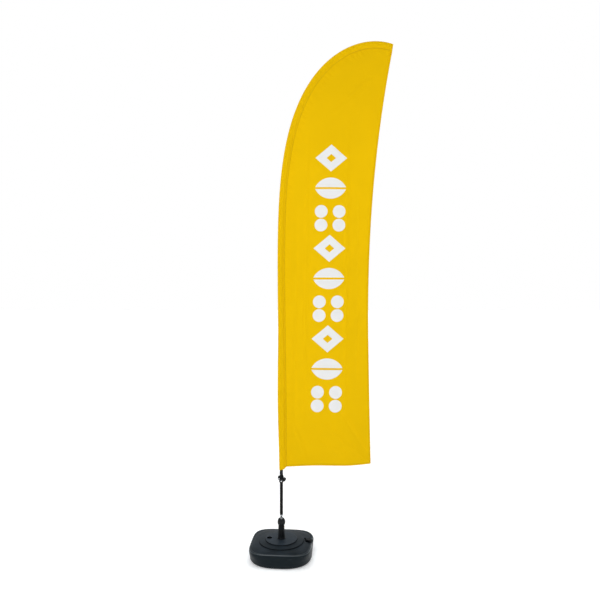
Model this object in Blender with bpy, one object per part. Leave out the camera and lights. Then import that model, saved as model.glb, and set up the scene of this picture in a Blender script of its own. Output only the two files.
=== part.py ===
"""Feather flag on a water-filled base: the design of every solid piece.

Frame: metres, +Z up, origin on the floor at the mast's axis. The flag flies
towards +X in its rest position, and the base is turned a little under it.
"""

from math import cos, pi, radians, sin

import bmesh
import bpy
import numpy as np
from mathutils import Vector

# ---- fit and thickness -------------------------------------------------------
GAP = 0.0003                 # between pieces that touch
TANK_WALL = 0.0035
CLOTH = 0.0012

# ---- water base --------------------------------------------------------------
BASE_TURN = radians(-4.6)    # how the base happens to stand under the flag
TANK_HALF = 0.187            # half the widest side
TANK_TOP = 0.103             # middle of the raised centre
STEP_OUTER_R = 0.136
STEP_INNER_R = 0.0975
STEP_RISE = 0.005
WELL_R = 0.0174              # well in the tank that takes the stem
WELL_FLOOR = 0.006
WATER_LEVEL = 0.060

NOTCH_FLOOR = 0.070          # corner notch that holds the filler
NOTCH_INNER = 0.141
NOTCH_HALF = 0.027
FILLER_R = 0.166             # distance of the filler from the mast's axis
FILLER_ANGLE = radians(8)
NECK_R = 0.013
NECK_BORE = 0.010
NECK_TOP = 0.086
CAP_R = 0.0172
CAP_TOP = 0.0925

VENT_DISTANCE = 0.072
VENT_RECESS_R = 0.015
VENT_RECESS_FLOOR = 0.0925
VENT_HOLE_R = 0.0063

# ---- stem and clamp ----------------------------------------------------------
STEM_SHOULDER = 0.1865       # where the stem's taper ends and its thread begins
STEM_TOP = 0.212
STEM_THREAD_R = 0.014
STEM_SOCKET_R = 0.0084
COLLET_SEAT_R = 0.0114
COLLET_R = 0.0110
COLLET_BORE = 0.0083
COLLET_FOOT = 0.172
COLLET_TOP = 0.2147
NUT_FOOT = 0.187
NUT_TOP = 0.2235
NUT_R = 0.0222
NUT_HOLE = 0.0088

# ---- spindle, bearings and rotor ---------------------------------------------
SHANK_R = 0.0080
SHANK_FOOT = 0.118
SHANK_TOP = 0.2215
CONE_TOP = 0.2432
CONE_R = 0.0092
AXLE_R = 0.0027
AXLE_TOP = 0.3290
BEARING_BORE = 0.0030
BEARING_R = 0.0065
BEARING_WIDTH = 0.0050
BEARING_PITCH = 0.00475
BALL_R = 0.0010
BALLS = 6
LOWER_BEARING = 0.2530       # lower face of each bearing
UPPER_BEARING = 0.3183
ROTOR_R = 0.0079
ROTOR_FOOT = 0.2436
ROTOR_TOP = 0.3350

# ---- mast: one long bent rod in four sections ----------------------------------
MAST_FOOT = 0.2462
MAST_LENGTH = 3.226
MAST_LEAN = 0.014            # the flag's pull leans the upper mast by this angle
LEAN_START = 0.30
LEAN_RUN = 0.60
BEND_START = 0.60
TIP_ANGLE = radians(110)     # the mast's direction at its tip, from upright
BEND_POWER = 4.67
STATION = 0.05               # spacing of the cross-sections along the mast
SECTION_STEP = 0.80
SOCKET_DEPTH = 0.05
#                 outer radius, bore radius
SECTION_RADII = ((0.0095, 0.0082), (0.0079, 0.0064), (0.0061, 0.0046), (0.0043, 0.0))
SECTION_SKIP = (4, 4, 2)     # stations between cross-sections of the three tubes
TIP_ROD_R = 0.0025
MAST_TIP = 3.18

# ---- flag --------------------------------------------------------------------
SLEEVE_FOOT = 0.272          # distances along the mast
SLEEVE_SHOULDER = 0.2895
SLEEVE_END = 3.226
SEAM_STATIONS = 27           # cross-sections of the flag, closer together at the tip
SLEEVE_OUTER = 0.013         # from the mast's axis to the luff's outer edge
SLEEVE_SLACK = 0.008         # extra room low down, where the sleeve hangs loose
SEAM = 0.033                 # from the mast's axis to the seam with the panel
FLY_WAIST_X = 0.527
FLY_WAIST_Z = 1.44
FLY_FOOT_Z = 0.550
FLY_TOP_Z = 3.050
FLY_TOP_REACH = 0.144
FLY_FOOT_REACH = 0.015
BILLOW = 0.022               # how far the free edge swings out of the flag's plane

# ---- tension clip --------------------------------------------------------------
CLIP_FOOT = 0.442
CLIP_TOP = 0.482
CLIP_BORE = 0.0099
CLIP_R = 0.0135
CORD_R = 0.0022


# ---- shared modelling functions ------------------------------------------------
def clear_scene():
    """Remove what a new file starts with."""
    for item in list(bpy.data.objects):
        bpy.data.objects.remove(item, do_unlink=True)


def material(name, colour, roughness, metallic=0.0):
    """A Principled material of one colour."""
    made = bpy.data.materials.new(name)
    made.use_nodes = True
    shader = made.node_tree.nodes["Principled BSDF"]
    shader.inputs["Base Color"].default_value = (*colour, 1.0)
    shader.inputs["Roughness"].default_value = roughness
    shader.inputs["Metallic"].default_value = metallic
    made.diffuse_color = (*colour, 1.0)
    return made


def finish(name, bm, look, parent=None):
    """Turn a bmesh into a named object with outward faces and smooth shading."""
    bmesh.ops.remove_doubles(bm, verts=bm.verts, dist=1e-7)
    bmesh.ops.recalc_face_normals(bm, faces=bm.faces)
    mesh = bpy.data.meshes.new(name)
    bm.to_mesh(mesh)
    bm.free()
    mesh.materials.append(look)
    mesh.shade_smooth()
    mesh.set_sharp_from_angle(angle=radians(35))
    made = bpy.data.objects.new(name, mesh)
    bpy.context.scene.collection.objects.link(made)
    made.parent = parent
    return made


def holder(name, location=(0.0, 0.0, 0.0), turn=0.0, parent=None):
    """An empty on a joint's axis, or at the head of a group of pieces."""
    made = bpy.data.objects.new(name, None)
    bpy.context.scene.collection.objects.link(made)
    made.location = location
    made.rotation_euler = (0.0, 0.0, turn)
    made.parent = parent
    return made


def turned(name, outline, look, sides=24, parent=None, centre=(0.0, 0.0)):
    """Spin a half-section of (radius, height) points about an upright axis.

    An outline whose ends lie on the axis stays open there; any other closes.
    """
    bm = bmesh.new()
    points = [bm.verts.new((radius, 0.0, height)) for radius, height in outline]
    edges = [bm.edges.new(pair) for pair in zip(points, points[1:])]
    if outline[0][0] > 0.0:
        edges.append(bm.edges.new((points[-1], points[0])))
    bmesh.ops.spin(
        bm,
        geom=points + edges,
        cent=(0.0, 0.0, 0.0),
        axis=(0.0, 0.0, 1.0),
        angle=2 * pi,
        steps=sides,
        use_merge=True,
    )
    bmesh.ops.remove_doubles(bm, verts=bm.verts, dist=1e-6)
    bmesh.ops.translate(bm, verts=bm.verts, vec=(centre[0], centre[1], 0.0))
    return finish(name, bm, look, parent)


def lofted(name, rings, look, parent=None, closed=False):
    """Skin a list of equal rings of points, with flat ends unless it closes on itself."""
    bm = bmesh.new()
    rows = [[bm.verts.new(point) for point in ring] for ring in rings]
    pairs = list(zip(rows, rows[1:]))
    if closed:
        pairs.append((rows[-1], rows[0]))
    for low, high in pairs:
        for i in range(len(low)):
            j = (i + 1) % len(low)
            bm.faces.new((low[i], low[j], high[j], high[i]))
    if not closed:
        bm.faces.new(rows[0])
        bm.faces.new(rows[-1])
    return finish(name, bm, look, parent)


def plan_ring(half, height, sides, exponent=2.0, ribs=0, depth=0.0, centre=(0.0, 0.0)):
    """A level ring: a circle at exponent 2, squarer above it, with optional ribs."""
    angle = np.linspace(0.0, 2 * pi, sides, endpoint=False)
    spread = np.abs(np.cos(angle)) ** exponent + np.abs(np.sin(angle)) ** exponent
    radius = half / spread ** (1.0 / exponent)
    if ribs:
        radius = radius + depth * np.where(np.cos(ribs * angle + 0.4) > 0.0, 1.0, 0.0)
    return np.column_stack(
        [
            centre[0] + radius * np.cos(angle),
            centre[1] + radius * np.sin(angle),
            np.full(sides, height),
        ]
    )


def boxed(name, low, high, look, parent=None, bevel=0.0):
    """A box between two corners, with its upright edges rounded by bevel."""
    bm = bmesh.new()
    bmesh.ops.create_cube(bm, size=1.0)
    size = Vector(high) - Vector(low)
    middle = (Vector(high) + Vector(low)) / 2
    bmesh.ops.scale(bm, verts=bm.verts, vec=size)
    bmesh.ops.translate(bm, verts=bm.verts, vec=middle)
    if bevel:
        upright = [e for e in bm.edges if abs(e.verts[0].co.z - e.verts[1].co.z) > size.z / 2]
        bmesh.ops.bevel(bm, geom=upright, offset=bevel, segments=3, affect="EDGES")
    return finish(name, bm, look, parent)


def use_tool(target, tool, operation="DIFFERENCE"):
    """Cut a tool out of an object, or join the two, and keep the tool as a hidden guide."""
    step = target.modifiers.new(tool.name, "BOOLEAN")
    step.operation = operation
    step.solver = "EXACT"
    step.object = tool
    tool.hide_render = True
    tool.display_type = "WIRE"


# ---- materials -----------------------------------------------------------------
def make_materials():
    """Every finish on the object."""
    return {
        "tank": material("tank_plastic", (0.030, 0.033, 0.038), 0.42),
        "fitting": material("fitting_plastic", (0.022, 0.024, 0.026), 0.38),
        "water": material("water", (0.55, 0.70, 0.75), 0.05),
        "rubber": material("rubber", (0.02, 0.02, 0.02), 0.85),
        "chrome": material("chrome", (0.85, 0.86, 0.87), 0.12, 1.0),
        "steel": material("steel", (0.55, 0.56, 0.58), 0.30, 1.0),
        "mast": material("mast_black", (0.012, 0.012, 0.013), 0.35),
        "rod": material("glass_fibre_rod", (0.05, 0.05, 0.05), 0.50),
        "cloth": material("flag_cloth", (0.83, 0.50, 0.004), 0.80),
        "webbing": material("webbing", (0.02, 0.02, 0.022), 0.90),
    }


# ---- water base ----------------------------------------------------------------
def tank_rows():
    """The tank's outer skin from the middle of its floor up to the well's mouth.

    Each row is (half width, squareness exponent, height).
    """
    foot = STEP_OUTER_R
    return [
        (0.040, 2.0, 0.0),
        (0.168, 2.6, 0.0),
        (0.181, 2.6, 0.003),
        (0.1862, 2.65, 0.012),
        (TANK_HALF, 3.0, 0.036),
        (0.1862, 3.9, 0.066),
        (0.1845, 4.2, 0.0765),
        (0.1810, 4.2, 0.0815),
        (0.1775, 4.1, 0.0825),
        (0.1735, 3.9, 0.0800),
        (0.1690, 3.7, 0.0815),
        (0.158, 2.8, 0.0850),
        (foot + 0.004, 2.0, 0.0875),
        (foot, 2.0, 0.0880),
        (foot - 0.0025, 2.0, 0.0880 + STEP_RISE),
        (STEP_INNER_R + 0.0025, 2.0, 0.0962),
        (STEP_INNER_R, 2.0, 0.0965),
        (STEP_INNER_R - 0.0025, 2.0, 0.0965 + STEP_RISE),
        (0.030, 2.0, TANK_TOP),
        (WELL_R, 2.0, TANK_TOP),
        (WELL_R, 2.0, WELL_FLOOR),
    ]


def cavity_rows():
    """The air and water space: the outer skin moved in by the wall, around the well."""
    wall = TANK_WALL
    pillar = WELL_R + wall
    return [
        (pillar, 2.0, wall),
        (0.166, 2.6, wall),
        (0.1815, 2.65, 0.012),
        (TANK_HALF - wall, 3.0, 0.036),
        (0.1820, 3.9, 0.066),
        (0.1775, 4.1, 0.0765),
        (0.158, 2.8, 0.0812),
        (STEP_OUTER_R, 2.0, 0.0842),
        (STEP_INNER_R, 2.0, 0.0928),
        (pillar, 2.0, TANK_TOP - wall),
    ]


def make_tank(looks, base):
    """Blow-moulded tank: hollow, stepped top, filler notch, vent recess and stem well."""
    sides = 44
    rings = [plan_ring(half, z, sides, power) for half, power, z in tank_rows()]
    tank = lofted("base_tank", rings, looks["tank"], base)
    plain = looks["tank"]

    inner = [plan_ring(half, z, 36, power) for half, power, z in cavity_rows()]
    cavity = lofted("guide_cavity", inner, plain, base, closed=True)

    filler = (FILLER_R * cos(FILLER_ANGLE), FILLER_R * sin(FILLER_ANGLE))
    far = TANK_HALF + 0.03
    above = TANK_TOP + 0.02

    def notch(name, grow):
        low = (NOTCH_INNER - grow, filler[1] - NOTCH_HALF - grow, NOTCH_FLOOR - grow)
        high = (far, filler[1] + NOTCH_HALF + grow, above)
        return boxed(name, low, high, plain, base, bevel=0.009)

    def disc(name, centre, radius, low, high):
        outline = [(0.0, low), (radius, low), (radius, high), (0.0, high)]
        return turned(name, outline, plain, 20, base, centre)

    vent = (-VENT_DISTANCE, 0.0)
    wall = TANK_WALL
    use_tool(cavity, notch("guide_notch_wall", wall))
    use_tool(
        cavity,
        disc("guide_vent_wall", vent, VENT_RECESS_R + wall, VENT_RECESS_FLOOR - wall, above),
    )
    use_tool(tank, cavity)
    use_tool(tank, notch("guide_notch", 0.0))
    use_tool(tank, disc("guide_vent_recess", vent, VENT_RECESS_R, VENT_RECESS_FLOOR, above))
    use_tool(tank, disc("guide_vent_hole", vent, VENT_HOLE_R, 0.080, above))
    use_tool(tank, disc("guide_filler_hole", filler, NECK_BORE, 0.062, above))


def make_water(looks, base):
    """Ballast water that fills the tank up to the filler's foot."""
    wall = TANK_WALL + 0.0008
    pillar = WELL_R + wall
    rows = [
        (pillar, 2.0, wall),
        (0.164, 2.6, wall),
        (0.1795, 2.65, 0.013),
        (TANK_HALF - wall, 3.0, 0.036),
        (TANK_HALF - wall - 0.0025, 3.4, WATER_LEVEL),
        (pillar, 2.0, WATER_LEVEL),
    ]
    rings = [plan_ring(half, z, 36, power) for half, power, z in rows]
    lofted("water_fill", rings, looks["water"], base, closed=True)


def make_filler(looks, base):
    """Threaded filler neck, its flat gasket, and the ribbed screw cap over them."""
    place = (FILLER_R * cos(FILLER_ANGLE), FILLER_R * sin(FILLER_ANGLE), 0.0)
    axis = holder("filler_axis", place, 0.0, base)
    low = NOTCH_FLOOR + GAP
    neck = [(NECK_BORE, low), (NECK_R, low), (NECK_R, NECK_TOP), (NECK_BORE, NECK_TOP)]
    turned("filler_neck", neck, looks["fitting"], 24, axis)

    seat = NECK_TOP + GAP
    top = seat + 0.0015
    ring = [(0.0090, seat), (0.0127, seat), (0.0127, top), (0.0090, top)]
    turned("filler_gasket", ring, looks["rubber"], 20, axis)

    ribs = 20
    sides = 4 * ribs
    crown = top + GAP
    inside = NECK_R + 0.0005
    rows = [
        (CAP_R - 0.0010, 0.0730, 0.0),
        (CAP_R, 0.0740, 0.0008),
        (CAP_R, CAP_TOP - 0.0030, 0.0008),
        (CAP_R - 0.0012, CAP_TOP - 0.0006, 0.0),
        (CAP_R - 0.0030, CAP_TOP, 0.0),
    ]
    outer = [plan_ring(r, z, sides, ribs=ribs, depth=d) for r, z, d in rows]
    inner = [plan_ring(inside, z, sides) for z in (crown, 0.0730)]
    lofted("filler_cap", list(reversed(outer)) + list(reversed(inner)), looks["fitting"], axis)


def make_vent(looks, base):
    """Push-in vent plug, sunk in its round recess."""
    axis = holder("vent_axis", (-VENT_DISTANCE, 0.0, 0.0), 0.0, base)
    seat = VENT_RECESS_FLOOR + GAP
    outline = [
        (0.0, 0.0860),
        (0.0052, 0.0860),
        (0.0059, 0.0872),
        (0.0059, seat),
        (0.0110, seat),
        (0.0110, seat + 0.0034),
        (0.0098, seat + 0.0046),
        (0.0050, seat + 0.0046),
        (0.0040, seat + 0.0030),
        (0.0, seat + 0.0030),
    ]
    turned("vent_plug", outline, looks["fitting"], 24, axis)


def make_stem(looks, base):
    """Moulded stem: a plug in the tank's well, a flared root, a taper and a thread."""
    root = TANK_TOP + GAP
    plug = WELL_R - 0.0004
    outline = [
        (plug - 0.003, WELL_FLOOR + 0.002),
        (plug, WELL_FLOOR + 0.002),
        (plug, root),
        (0.0245, root),
        (0.0240, root + 0.0025),
        (0.0215, root + 0.0050),
        (0.0200, root + 0.0100),
        (0.0160, STEM_SHOULDER - 0.004),
        (0.0156, STEM_SHOULDER),
        (STEM_THREAD_R, STEM_SHOULDER),
        (STEM_THREAD_R, STEM_TOP),
        (COLLET_SEAT_R, STEM_TOP),
        (COLLET_SEAT_R, COLLET_FOOT - 0.001),
        (STEM_SOCKET_R, COLLET_FOOT - 0.001),
        (STEM_SOCKET_R, SHANK_FOOT - GAP),
        (0.0, SHANK_FOOT - GAP),
    ]
    under = [(0.0, 0.110), (plug - 0.003, 0.110)]
    turned("stem_tube", under + outline, looks["fitting"], 32, base)


# ---- clamp ---------------------------------------------------------------------
def make_clamp(looks):
    """Split collet and the ribbed nut that squeezes it on the spindle's shank."""
    axis = holder("clamp_axis")
    outline = [
        (COLLET_BORE, COLLET_FOOT),
        (COLLET_R - 0.0008, COLLET_FOOT),
        (COLLET_R, COLLET_FOOT + 0.004),
        (COLLET_R, COLLET_TOP),
        (COLLET_BORE, COLLET_TOP),
    ]
    collet = turned("clamp_collet", outline, looks["fitting"], 24, axis)
    for turn in (0, 1):
        half = (COLLET_R + 0.004, 0.0008) if turn == 0 else (0.0008, COLLET_R + 0.004)
        slot = boxed(
            f"guide_collet_slot_{turn + 1}",
            (-half[0], -half[1], COLLET_FOOT - 0.004),
            (half[0], half[1], COLLET_TOP - 0.010),
            looks["fitting"],
            axis,
        )
        use_tool(collet, slot)

    ribs = 16
    sides = 4 * ribs
    rows = [
        (NUT_R - 0.0040, NUT_FOOT, 0.0),
        (NUT_R - 0.0018, NUT_FOOT + 0.0020, 0.0008),
        (NUT_R - 0.0002, NUT_FOOT + 0.0090, 0.0011),
        (NUT_R, NUT_FOOT + 0.0165, 0.0011),
        (NUT_R - 0.0014, NUT_FOOT + 0.0255, 0.0010),
        (NUT_R - 0.0042, NUT_TOP - 0.0035, 0.0006),
        (NUT_R - 0.0078, NUT_TOP, 0.0),
    ]
    bore = STEM_THREAD_R + 0.0004
    ceiling = COLLET_TOP + GAP
    outer = [plan_ring(r, z, sides, ribs=ribs, depth=d) for r, z, d in rows]
    inside = [(NUT_HOLE, NUT_TOP), (NUT_HOLE, ceiling), (bore, ceiling), (bore, NUT_FOOT)]
    inner = [plan_ring(r, z, sides) for r, z in inside]
    lofted("clamp_nut", outer + inner, looks["fitting"], axis, closed=True)


# ---- spindle, bearings and rotor -------------------------------------------------
def make_spindle(looks):
    """Chromed spindle: a shank for the clamp, a cone, and a thin axle for the bearings."""
    axis = holder("spindle_axis")
    neck = SHANK_TOP + 0.003
    outline = [
        (0.0, SHANK_FOOT),
        (SHANK_R - 0.0010, SHANK_FOOT),
        (SHANK_R, SHANK_FOOT + 0.0010),
        (SHANK_R, SHANK_TOP),
        (0.0064, neck),
        (0.0066, neck + 0.0040),
        (CONE_R, CONE_TOP - 0.0020),
        (CONE_R - 0.0006, CONE_TOP),
        (0.0038, CONE_TOP),
        (0.0038, LOWER_BEARING - GAP),
        (AXLE_R, LOWER_BEARING - GAP),
        (AXLE_R, AXLE_TOP - 0.0006),
        (AXLE_R - 0.0006, AXLE_TOP),
        (0.0, AXLE_TOP),
    ]
    turned("spindle", outline, looks["chrome"], 32, axis)

    low = LOWER_BEARING + BEARING_WIDTH + GAP
    high = UPPER_BEARING - GAP
    tube = [(BEARING_BORE, low), (0.0039, low), (0.0039, high), (BEARING_BORE, high)]
    turned("bearing_spacer", tube, looks["steel"], 20, axis)

    low = UPPER_BEARING + BEARING_WIDTH + GAP
    high = low + 0.0010
    inside = AXLE_R + 0.0002
    clip = [(inside, low), (0.0040, low), (0.0040, high), (inside, high)]
    ring = turned("axle_circlip", clip, looks["steel"], 20, axis)
    mouth = boxed(
        "guide_circlip_mouth",
        (0.0, -0.0012, low - 0.002),
        (0.008, 0.0012, high + 0.002),
        looks["steel"],
        axis,
    )
    use_tool(ring, mouth)


def make_bearing(looks, axis, place, foot):
    """One deep-groove ball bearing: inner ring, balls in their cage, outer ring."""
    middle = foot + BEARING_WIDTH / 2
    top = foot + BEARING_WIDTH
    inner_land = BEARING_PITCH - 0.00065
    outer_land = BEARING_PITCH + 0.00065
    groove = BALL_R + 0.00015
    inner = [
        (BEARING_BORE, foot),
        (inner_land, foot),
        (inner_land, middle - 0.0010),
        (BEARING_PITCH - groove, middle),
        (inner_land, middle + 0.0010),
        (inner_land, top),
        (BEARING_BORE, top),
    ]
    turned(f"bearing_{place}_inner_ring", inner, looks["steel"], 20, axis)
    outer = [
        (BEARING_R, foot),
        (BEARING_R, top),
        (outer_land, top),
        (outer_land, middle + 0.0010),
        (BEARING_PITCH + groove + 0.0001, middle),
        (outer_land, middle - 0.0010),
        (outer_land, foot),
    ]
    turned(f"bearing_{place}_outer_ring", outer, looks["steel"], 20, axis)

    half = 0.0003
    cage = [
        (BEARING_PITCH - half, middle - half),
        (BEARING_PITCH + half, middle - half),
        (BEARING_PITCH + half, middle + half),
        (BEARING_PITCH - half, middle + half),
    ]
    ring = turned(f"bearing_{place}_ball_cage", cage, looks["steel"], 12, axis)
    bm = bmesh.new()
    for i in range(BALLS):
        angle = 2 * pi * (i + 0.5) / BALLS
        spot = (BEARING_PITCH * cos(angle), BEARING_PITCH * sin(angle), middle)
        ball = bmesh.ops.create_icosphere(bm, subdivisions=2, radius=BALL_R)
        bmesh.ops.translate(bm, verts=ball["verts"], vec=spot)
    balls = finish(f"guide_{place}_balls", bm, looks["steel"], axis)
    use_tool(ring, balls, "UNION")


def make_rotor(looks):
    """Turning sleeve that the mast drops over, with its two bearings inside."""
    axis = holder("swivel_axis")
    make_bearing(looks, axis, "lower", LOWER_BEARING)
    make_bearing(looks, axis, "upper", UPPER_BEARING)
    bore = BEARING_R + GAP
    shoulder = UPPER_BEARING + BEARING_WIDTH + GAP
    seat = LOWER_BEARING - GAP
    outline = [
        (0.0, ROTOR_TOP - 0.0025),
        (0.0048, ROTOR_TOP - 0.0025),
        (0.0048, shoulder),
        (bore, shoulder),
        (bore, seat),
        (0.0052, seat),
        (0.0052, ROTOR_FOOT),
        (0.0095, ROTOR_FOOT),
        (0.0095, MAST_FOOT - GAP),
        (ROTOR_R, MAST_FOOT - GAP),
        (ROTOR_R, ROTOR_TOP - 0.0015),
        (ROTOR_R - 0.0015, ROTOR_TOP),
        (0.0, ROTOR_TOP),
    ]
    turned("rotor_sleeve", outline, looks["chrome"], 24, axis)


# ---- mast ----------------------------------------------------------------------
def mast_line(distance):
    """The bent mast's centre and direction at distances along it from its foot.

    The direction's angle from upright is a small lean, then a power of the way
    along the bend. The centre is the running sum of that direction.
    """
    fine = np.linspace(0.0, MAST_LENGTH, 4001)
    lean = MAST_LEAN * np.clip((fine - LEAN_START) / LEAN_RUN, 0.0, 1.0)
    share = np.clip((fine - BEND_START) / (MAST_LENGTH - BEND_START), 0.0, 1.0)
    angle = TIP_ANGLE * share**BEND_POWER - lean
    step = fine[1] - fine[0]
    middle = (angle[1:] + angle[:-1]) / 2
    x = np.concatenate([[0.0], np.cumsum(np.sin(middle) * step)])
    z = MAST_FOOT + np.concatenate([[0.0], np.cumsum(np.cos(middle) * step)])
    return np.interp(distance, fine, x), np.interp(distance, fine, z), np.interp(distance, fine, angle)


def across_mast(distance, offset):
    """Points at a sideways offset from the mast's centre, towards the fly."""
    x, z, angle = mast_line(distance)
    return x + offset * np.cos(angle), z - offset * np.sin(angle)


def mast_ring(distance, sideways, depth):
    """A cross-section square to the mast, from its sideways and Y offsets."""
    x, z = across_mast(distance, sideways)
    return np.column_stack([x, depth, z])


def round_ring(distance, radius, sides):
    """A round cross-section of the mast."""
    angle = np.linspace(0.0, 2 * pi, sides, endpoint=False)
    return mast_ring(distance, radius * np.cos(angle), radius * np.sin(angle))


def make_mast(looks, axis):
    """Four sections, each pushed into the one below: two tubes, a thin tube and a rod."""
    for i, (radius, bore) in enumerate(SECTION_RADII):
        start = i * SECTION_STEP
        last = i == len(SECTION_RADII) - 1
        end = MAST_TIP if last else start + SECTION_STEP + SOCKET_DEPTH
        count = int(round((end - start) / STATION)) + 1
        stops = np.linspace(start, end, count)
        sides = 16 if i < 2 else 12
        if not last:
            between = list(range(1, count - 1, SECTION_SKIP[i]))
            stops = stops[sorted({0, count - 2, count - 1, *between})]
        look = looks["mast"] if i < 2 else looks["rod"]
        if last:
            taper = np.clip((stops - start - SOCKET_DEPTH) / (end - start - SOCKET_DEPTH), 0.0, 1.0)
            radii = radius + (TIP_ROD_R - radius) * taper
            rings = [round_ring(s, r, sides) for s, r in zip(stops, radii)]
            lofted(f"mast_section_{i + 1}", rings, look, axis)
        else:
            outer = [round_ring(s, radius, sides) for s in stops]
            inner = [round_ring(s, bore, sides) for s in reversed(stops)]
            lofted(f"mast_section_{i + 1}", outer + inner, look, axis, closed=True)

    stops = MAST_TIP + np.array([GAP, 0.002, 0.006, 0.010, 0.012])
    radii = np.array([0.0030, 0.0045, 0.0050, 0.0040, 0.0015])
    rings = [round_ring(s, r, 12) for s, r in zip(stops, radii)]
    lofted("mast_tip_cap", rings, looks["rubber"], axis)


# ---- flag ----------------------------------------------------------------------
def sleeve_shape(distance):
    """The sleeve's outer edge, seam edge and half thickness at a distance along the mast."""
    ramp = np.clip((distance - SLEEVE_FOOT) / (SLEEVE_SHOULDER - SLEEVE_FOOT), 0.0, 1.0)
    loose = np.sin(pi * np.clip((distance - 0.22) / 0.95, 0.0, 1.0)) ** 2
    outer = -SLEEVE_OUTER - SLEEVE_SLACK * loose
    seam = 0.0135 + (SEAM - 0.0135) * ramp
    thick = 0.0125 - 0.0050 * distance / MAST_LENGTH
    return outer, seam, thick


def sleeve_ring(distance, inset, sides):
    """One cross-section of the sleeve: a round nose at the luff and a long tail at the seam."""
    outer, seam, thick = sleeve_shape(distance)
    angle = np.linspace(0.0, 2 * pi, sides, endpoint=False)
    nose = np.cos(angle) < 0.0
    reach = np.where(nose, -outer - inset, seam - inset)
    tail = np.clip(np.cos(angle), 0.0, 1.0)
    depth = (thick - inset) * np.sin(angle) * (1.0 - 0.25 * tail)
    return mast_ring(distance, reach * np.cos(angle), depth)


def seam_stops():
    """The stations that the sleeve and the panel share, so that their seam edges agree."""
    share = 1.0 - np.linspace(1.0, 0.0, SEAM_STATIONS) ** 1.5
    return SLEEVE_SHOULDER + (SLEEVE_END - SLEEVE_SHOULDER) * share


def make_sleeve(looks, axis):
    """Pocket that holds the mast: open at its foot, sewn shut at the tip."""
    sides = 12
    stops = np.concatenate([[SLEEVE_FOOT], seam_stops()])
    outer = [sleeve_ring(s, 0.0, sides) for s in stops]
    inner = [sleeve_ring(s, CLOTH, sides) for s in stops[:-1][::-1]]
    end = sleeve_ring(SLEEVE_END - 0.004, CLOTH, sides)
    lofted("flag_sleeve", list(reversed(outer)) + list(reversed(inner)) + [end], looks["cloth"], axis)


def fly_edge(height):
    """The free edge's X at a height: a waist, reaching out above it and a little below it."""
    above = np.clip((height - FLY_WAIST_Z) / (FLY_TOP_Z - FLY_WAIST_Z), 0.0, 1.0)
    below = np.clip((FLY_WAIST_Z - height) / (FLY_WAIST_Z - FLY_FOOT_Z), 0.0, 1.0)
    return FLY_WAIST_X + FLY_TOP_REACH * above**2.15 + FLY_FOOT_REACH * below**1.2


def make_panel(looks, axis):
    """The flag's printed panel: one thin sheet from the sleeve's seam to the fly."""
    across = 9
    stops = seam_stops()
    along = len(stops)
    bm = bmesh.new()
    front = []
    back = []
    for distance in stops:
        v = (distance - SLEEVE_SHOULDER) / (SLEEVE_END - SLEEVE_SHOULDER)
        seam_x, seam_z = across_mast(distance, SEAM + GAP)
        fly_z = FLY_FOOT_Z + v * (FLY_TOP_Z - FLY_FOOT_Z)
        fly_x = float(fly_edge(fly_z))
        for i in range(across):
            u = i / (across - 1)
            x = seam_x + u * (fly_x - seam_x)
            z = seam_z + u * (fly_z - seam_z)
            y = BILLOW * u * (1.0 - 0.8 * v) * sin(2.2 * pi * u + 1.1 * pi * v)
            front.append(bm.verts.new((x, y - CLOTH / 2, z)))
            back.append(bm.verts.new((x, y + CLOTH / 2, z)))
    for j in range(along - 1):
        for i in range(across - 1):
            a = j * across + i
            b = a + across
            bm.faces.new((front[a], front[a + 1], front[b + 1], front[b]))
            bm.faces.new((back[a], back[b], back[b + 1], back[a + 1]))
    rim = [i for i in range(across)]
    rim += [j * across + across - 1 for j in range(1, along)]
    rim += [(along - 1) * across + i for i in range(across - 2, -1, -1)]
    rim += [j * across for j in range(along - 2, 0, -1)]
    for k, a in enumerate(rim):
        b = rim[(k + 1) % len(rim)]
        bm.faces.new((front[a], back[a], back[b], front[b]))
    finish("flag_panel", bm, looks["cloth"], axis)


# ---- tension clip ----------------------------------------------------------------
def make_tab(looks, axis):
    """Webbing tab sewn into the sleeve's foot, down the front of the mast."""
    front = -0.0100
    low = (-0.0100, front - 0.0018, 0.4900)
    high = (0.0100, front, MAST_FOOT + SLEEVE_FOOT - 0.0008)
    boxed("webbing_tab", low, high, looks["webbing"], axis)


def make_clip(looks):
    """Collar that slides on the mast, with a cord guide at the left and a horn at the right."""
    axis = holder("clip_axis")
    low = CLIP_FOOT
    outline = [
        (CLIP_BORE, low),
        (CLIP_R - 0.0010, low),
        (CLIP_R, low + 0.0020),
        (CLIP_R, CLIP_TOP - 0.0030),
        (CLIP_R - 0.0015, CLIP_TOP),
        (CLIP_BORE, CLIP_TOP),
    ]
    collar = turned("clip_collar", outline, looks["fitting"], 24, axis)

    def plate(name, points, half):
        rings = [[(x, y, z) for x, z in points] for y in (-half, half)]
        return lofted(name, rings, looks["fitting"], axis)

    horn = [
        (0.0118, low + 0.004),
        (0.0215, low + 0.005),
        (0.0262, low + 0.014),
        (0.0293, low + 0.0195),
        (0.0250, low + 0.0235),
        (0.0185, low + 0.0225),
        (0.0160, low + 0.0270),
        (0.0118, low + 0.0290),
    ]
    guide = [
        (-0.0118, low + 0.022),
        (-0.0175, low + 0.025),
        (-0.0205, low + 0.031),
        (-0.0200, low + 0.036),
        (-0.0165, low + 0.0385),
        (-0.0118, low + 0.0385),
    ]
    use_tool(collar, plate("guide_horn", horn, 0.0050), "UNION")
    use_tool(collar, plate("guide_cord_guide", guide, 0.0045), "UNION")
    screw_hole = turned_across("guide_screw_hole", 0.0024, -0.020, -0.005, CLIP_FOOT + 0.010, looks, axis)
    use_tool(collar, screw_hole)


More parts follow.
